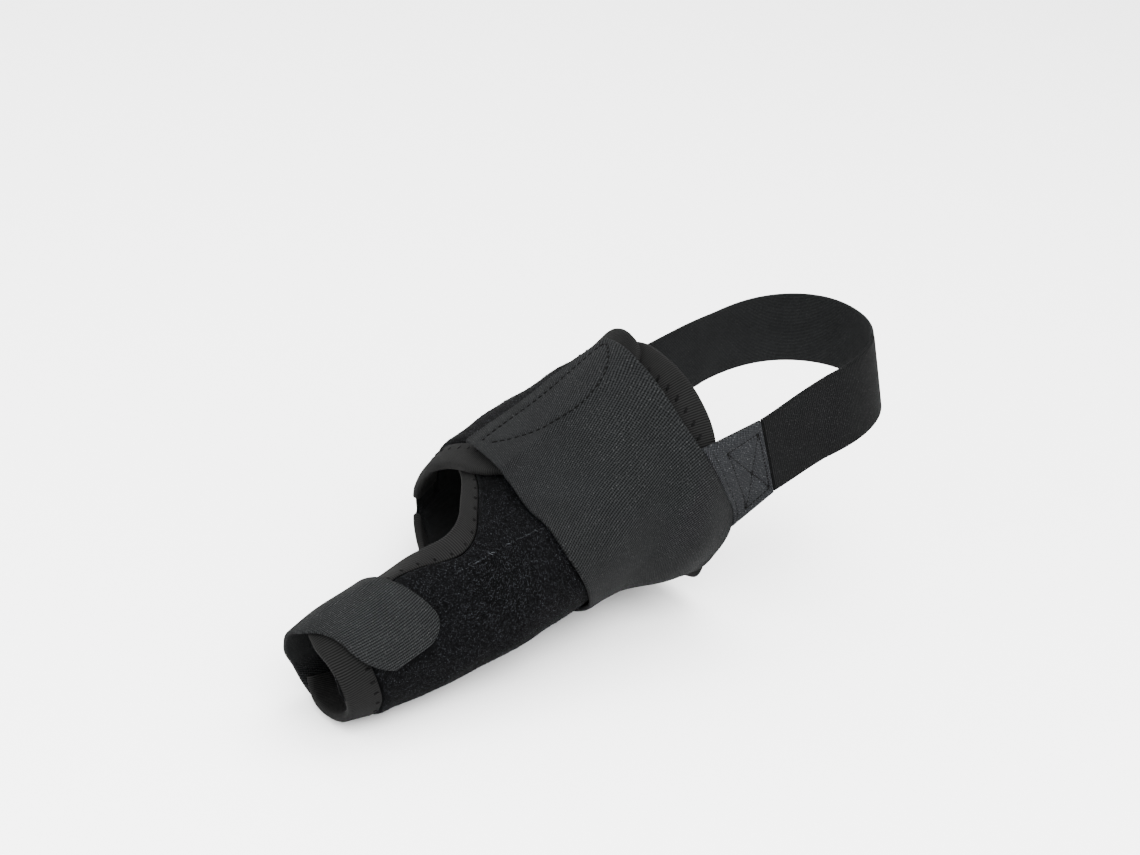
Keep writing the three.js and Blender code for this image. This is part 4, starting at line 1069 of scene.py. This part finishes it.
def tab_place(s, t, side):
    """Place on the heel tab: s across its width, t from the arch strap to the heel strap."""
    up = (s - 0.5) * HEEL_STRAP_WIDTH
    strap_edge = heel_place(TAB_END_RUN * FOOT_LENGTH + GAP, up, TAB_OFF)
    turn = arch_turn(0, mix(TAB_SEAM_LOW, TAB_SEAM_HIGH, s))
    along = arch_rear(turn)
    seam = lifted(along, turn, arch_off(along, turn) + 0.5 * (ARCH_STRAP_WALL - TAB_WALL))
    seam = seam - np.array([SEAM_GAP, 0, 0])
    return mix(seam, strap_edge, t[..., None]) + np.array([0, 1, 0]) * np.asarray(side)[..., None]


BOX = ((.12, .30), (.88, .30), (.88, .90), (.12, .90))
TAB_STITCHES = [(BOX[i], BOX[(i + 1) % 4]) for i in range(4)]
TAB_STITCHES += [(BOX[0], BOX[2]), (BOX[1], BOX[3]), ((.05, .10), (.95, .10))]
TAB_POINTS, TAB_SINK, TAB_DENT_LIMIT = 40, 0.22, 0.4


def make_tab():
    s, t, edge = strap_grid(40, 44, HEEL_STRAP_WIDTH, TAB_LENGTH)
    lines = []
    for (s0, t0), (s1, t1) in TAB_STITCHES:
        k = np.linspace(0, 1, TAB_POINTS)
        lines.append(tab_place(mix(s0, s1, k), mix(t0, t1, k), TAB_WALL))
    plain = tab_place(s, t, TAB_WALL)
    dent = sum(groove(plain, line[::2], depth=0.28, width=0.8) for line in lines)
    piece = strap("heel_tab_cloth", lambda off: tab_place(s, t, off), edge, TAB_WALL,
                  -np.minimum(dent, TAB_DENT_LIMIT), tab_cloth, "tab_cloth")
    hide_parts("heel_tab")
    facing = np.tile([0.0, 1.0, 0.0], (TAB_POINTS, 1))
    for line in lines:
        sew(line - facing * TAB_SINK, facing, step=1.3, fill=0.9, radius=0.2)
    return piece


arch = make_arch()
hook_patch = make_hook_patch()
toe_strap = make_toe_strap()
heel_strap = make_heel_strap()
heel_end = make_heel_end()
tab = make_tab()


# Stitches of the bindings: small knots near the inner edge of the tape

EDGE_POINTS = 400
KNOT_SLANT, KNOT_RADIUS, KNOT_SINK = 2 / EDGE_POINTS, 0.42, 0.02
# A row of knots: the edge it follows, its inset, its step and half of a knot's length
KNOTS = ((rear_place, 5.6, 4.6, 0.9), (flap_place, 7.6, 5.0, 0.8), (side_place(True), 8.6, 5.2, 0.8),
         (side_place(False), 8.6, 5.2, 0.8), (toe_place, 8.6, 4.4, 0.8))


def sew_tape(place_at, inset, step, half):
    share = np.linspace(0, 1, EDGE_POINTS)
    along, turn = place_at(share, inset)
    line = lifted(along, turn, body_rise(along, turn) + PAD_WALL - KNOT_SINK)
    station = np.interp(resample(line, step), np.arange(EDGE_POINTS), share)
    starts, ends = place_at(station, inset - half), place_at(station + KNOT_SLANT, inset + half)
    on_tape = (lifted(*spots, body_rise(*spots) + PAD_WALL) for spots in (starts, ends))
    add_threads(*on_tape, outward(*starts), KNOT_RADIUS)


for knots in KNOTS:
    sew_tape(*knots)
stitches = tubes("stitches", *(np.concatenate(values) for values in zip(*threads)), black_thread,
                 "binding_tape")

THREAD_FROM, THREAD_TO, RIDGE_POINTS = 0.612, 0.760, 220
THREAD_OVER, RIDGE_RADIUS, RIDGE_FUZZ = 0.05, 0.16, 0.28


def make_ridge_thread():
    """Fuzzy lighter thread that lies along the sewn pocket's ridge."""
    at = np.linspace(THREAD_FROM, THREAD_TO, RIDGE_POINTS)
    along, turn = at * FOOT_LENGTH, pocket_line(at * FOOT_LENGTH)
    line = lifted(along, turn, PAD_WALL + RIDGE_HEIGHT + THREAD_OVER)
    starts, ends, ups = dashes(line, outward(along, turn), step=0.9, fill=1.25)
    fuzz = random.normal(size=starts.shape) * RIDGE_FUZZ
    return tubes("ridge_thread", starts + fuzz, ends - fuzz, ups, RIDGE_RADIUS, pale_thread,
                 "loop_fabric")


ridge_thread = make_ridge_thread()


# Floor, light and camera

FLOOR_SIZE, FLOOR_CLEAR = 8, 0.0004
bpy.ops.mesh.primitive_plane_add(size=FLOOR_SIZE, location=(0, 0, CAD_BOX[0].z - FLOOR_CLEAR))
floor = bpy.context.object
floor.name = "floor"
floor_look = Look("floor_paper")
tone = floor_look.ramp(floor_look.noise(3, 2, 0.5), (0.3, grey(0.92)), (0.7, grey(0.94)))
floor.data.materials.append(floor_look.finish(tone, 0.9, 0.2))
floor.data.uv_layers[0].name = "cloth"

world = bpy.context.scene.world or bpy.data.worlds.new("studio")
bpy.context.scene.world = world
world.use_nodes = True
backdrop = world.node_tree.nodes["Background"].inputs
backdrop["Color"].default_value, backdrop["Strength"].default_value = (1, 1, 1, 1), 3.2

# Lamps: name, place, size and power, all aimed a little above the middle of the floor
LAMP_AIM = Vector((0, 0, 0.03))
LAMPS = (("key", (0.25, 0.75, 0.95), 0.7, 34), ("fill", (0.9, 0.1, 0.6), 0.8, 14),
         ("top", (-0.3, -0.1, 1.2), 0.9, 18))
for name, spot, size, power in LAMPS:
    data = bpy.data.lights.new(name, "AREA")
    data.shape, data.size, data.energy = "SQUARE", size, power
    light = add(name, data)
    light.location, light.rotation_mode = spot, "QUATERNION"
    light.rotation_quaternion = (LAMP_AIM - Vector(spot)).to_track_quat("-Z", "Y")

AZIMUTH, ELEVATION, ROLL, DISTANCE = 144.5, 25.0, 7.2, 700
AIM, SHIFT_RIGHT, SHIFT_UP = (120 - ORIGIN_FROM_HEEL, 0, 35), 0.5, 17.2
FOCAL_PIXELS, IMAGE_WIDTH, SENSOR = 2200, 1140, 36
a, e, r = AZIMUTH * RAD, ELEVATION * RAD, ROLL * RAD
back = Vector((math.sin(a) * math.cos(e), -math.cos(a) * math.cos(e), math.sin(e)))
level = (-back).cross(Vector((0, 0, 1))).normalized()
above = level.cross(-back)
right = level * math.cos(r) + above * math.sin(r)
up = above * math.cos(r) - level * math.sin(r)
camera_data = bpy.data.cameras.new("camera")
camera_data.sensor_width = SENSOR
camera_data.lens = FOCAL_PIXELS / IMAGE_WIDTH * SENSOR
camera = add("camera", camera_data)
place = (Vector(AIM) + back * DISTANCE + right * SHIFT_RIGHT + up * SHIFT_UP) * MM
turned = Matrix((right, up, back)).transposed().to_4x4()
camera.matrix_world = Matrix.Translation(place) @ turned
camera_data.clip_start, camera_data.clip_end = 0.01, 50
bpy.context.scene.camera = camera
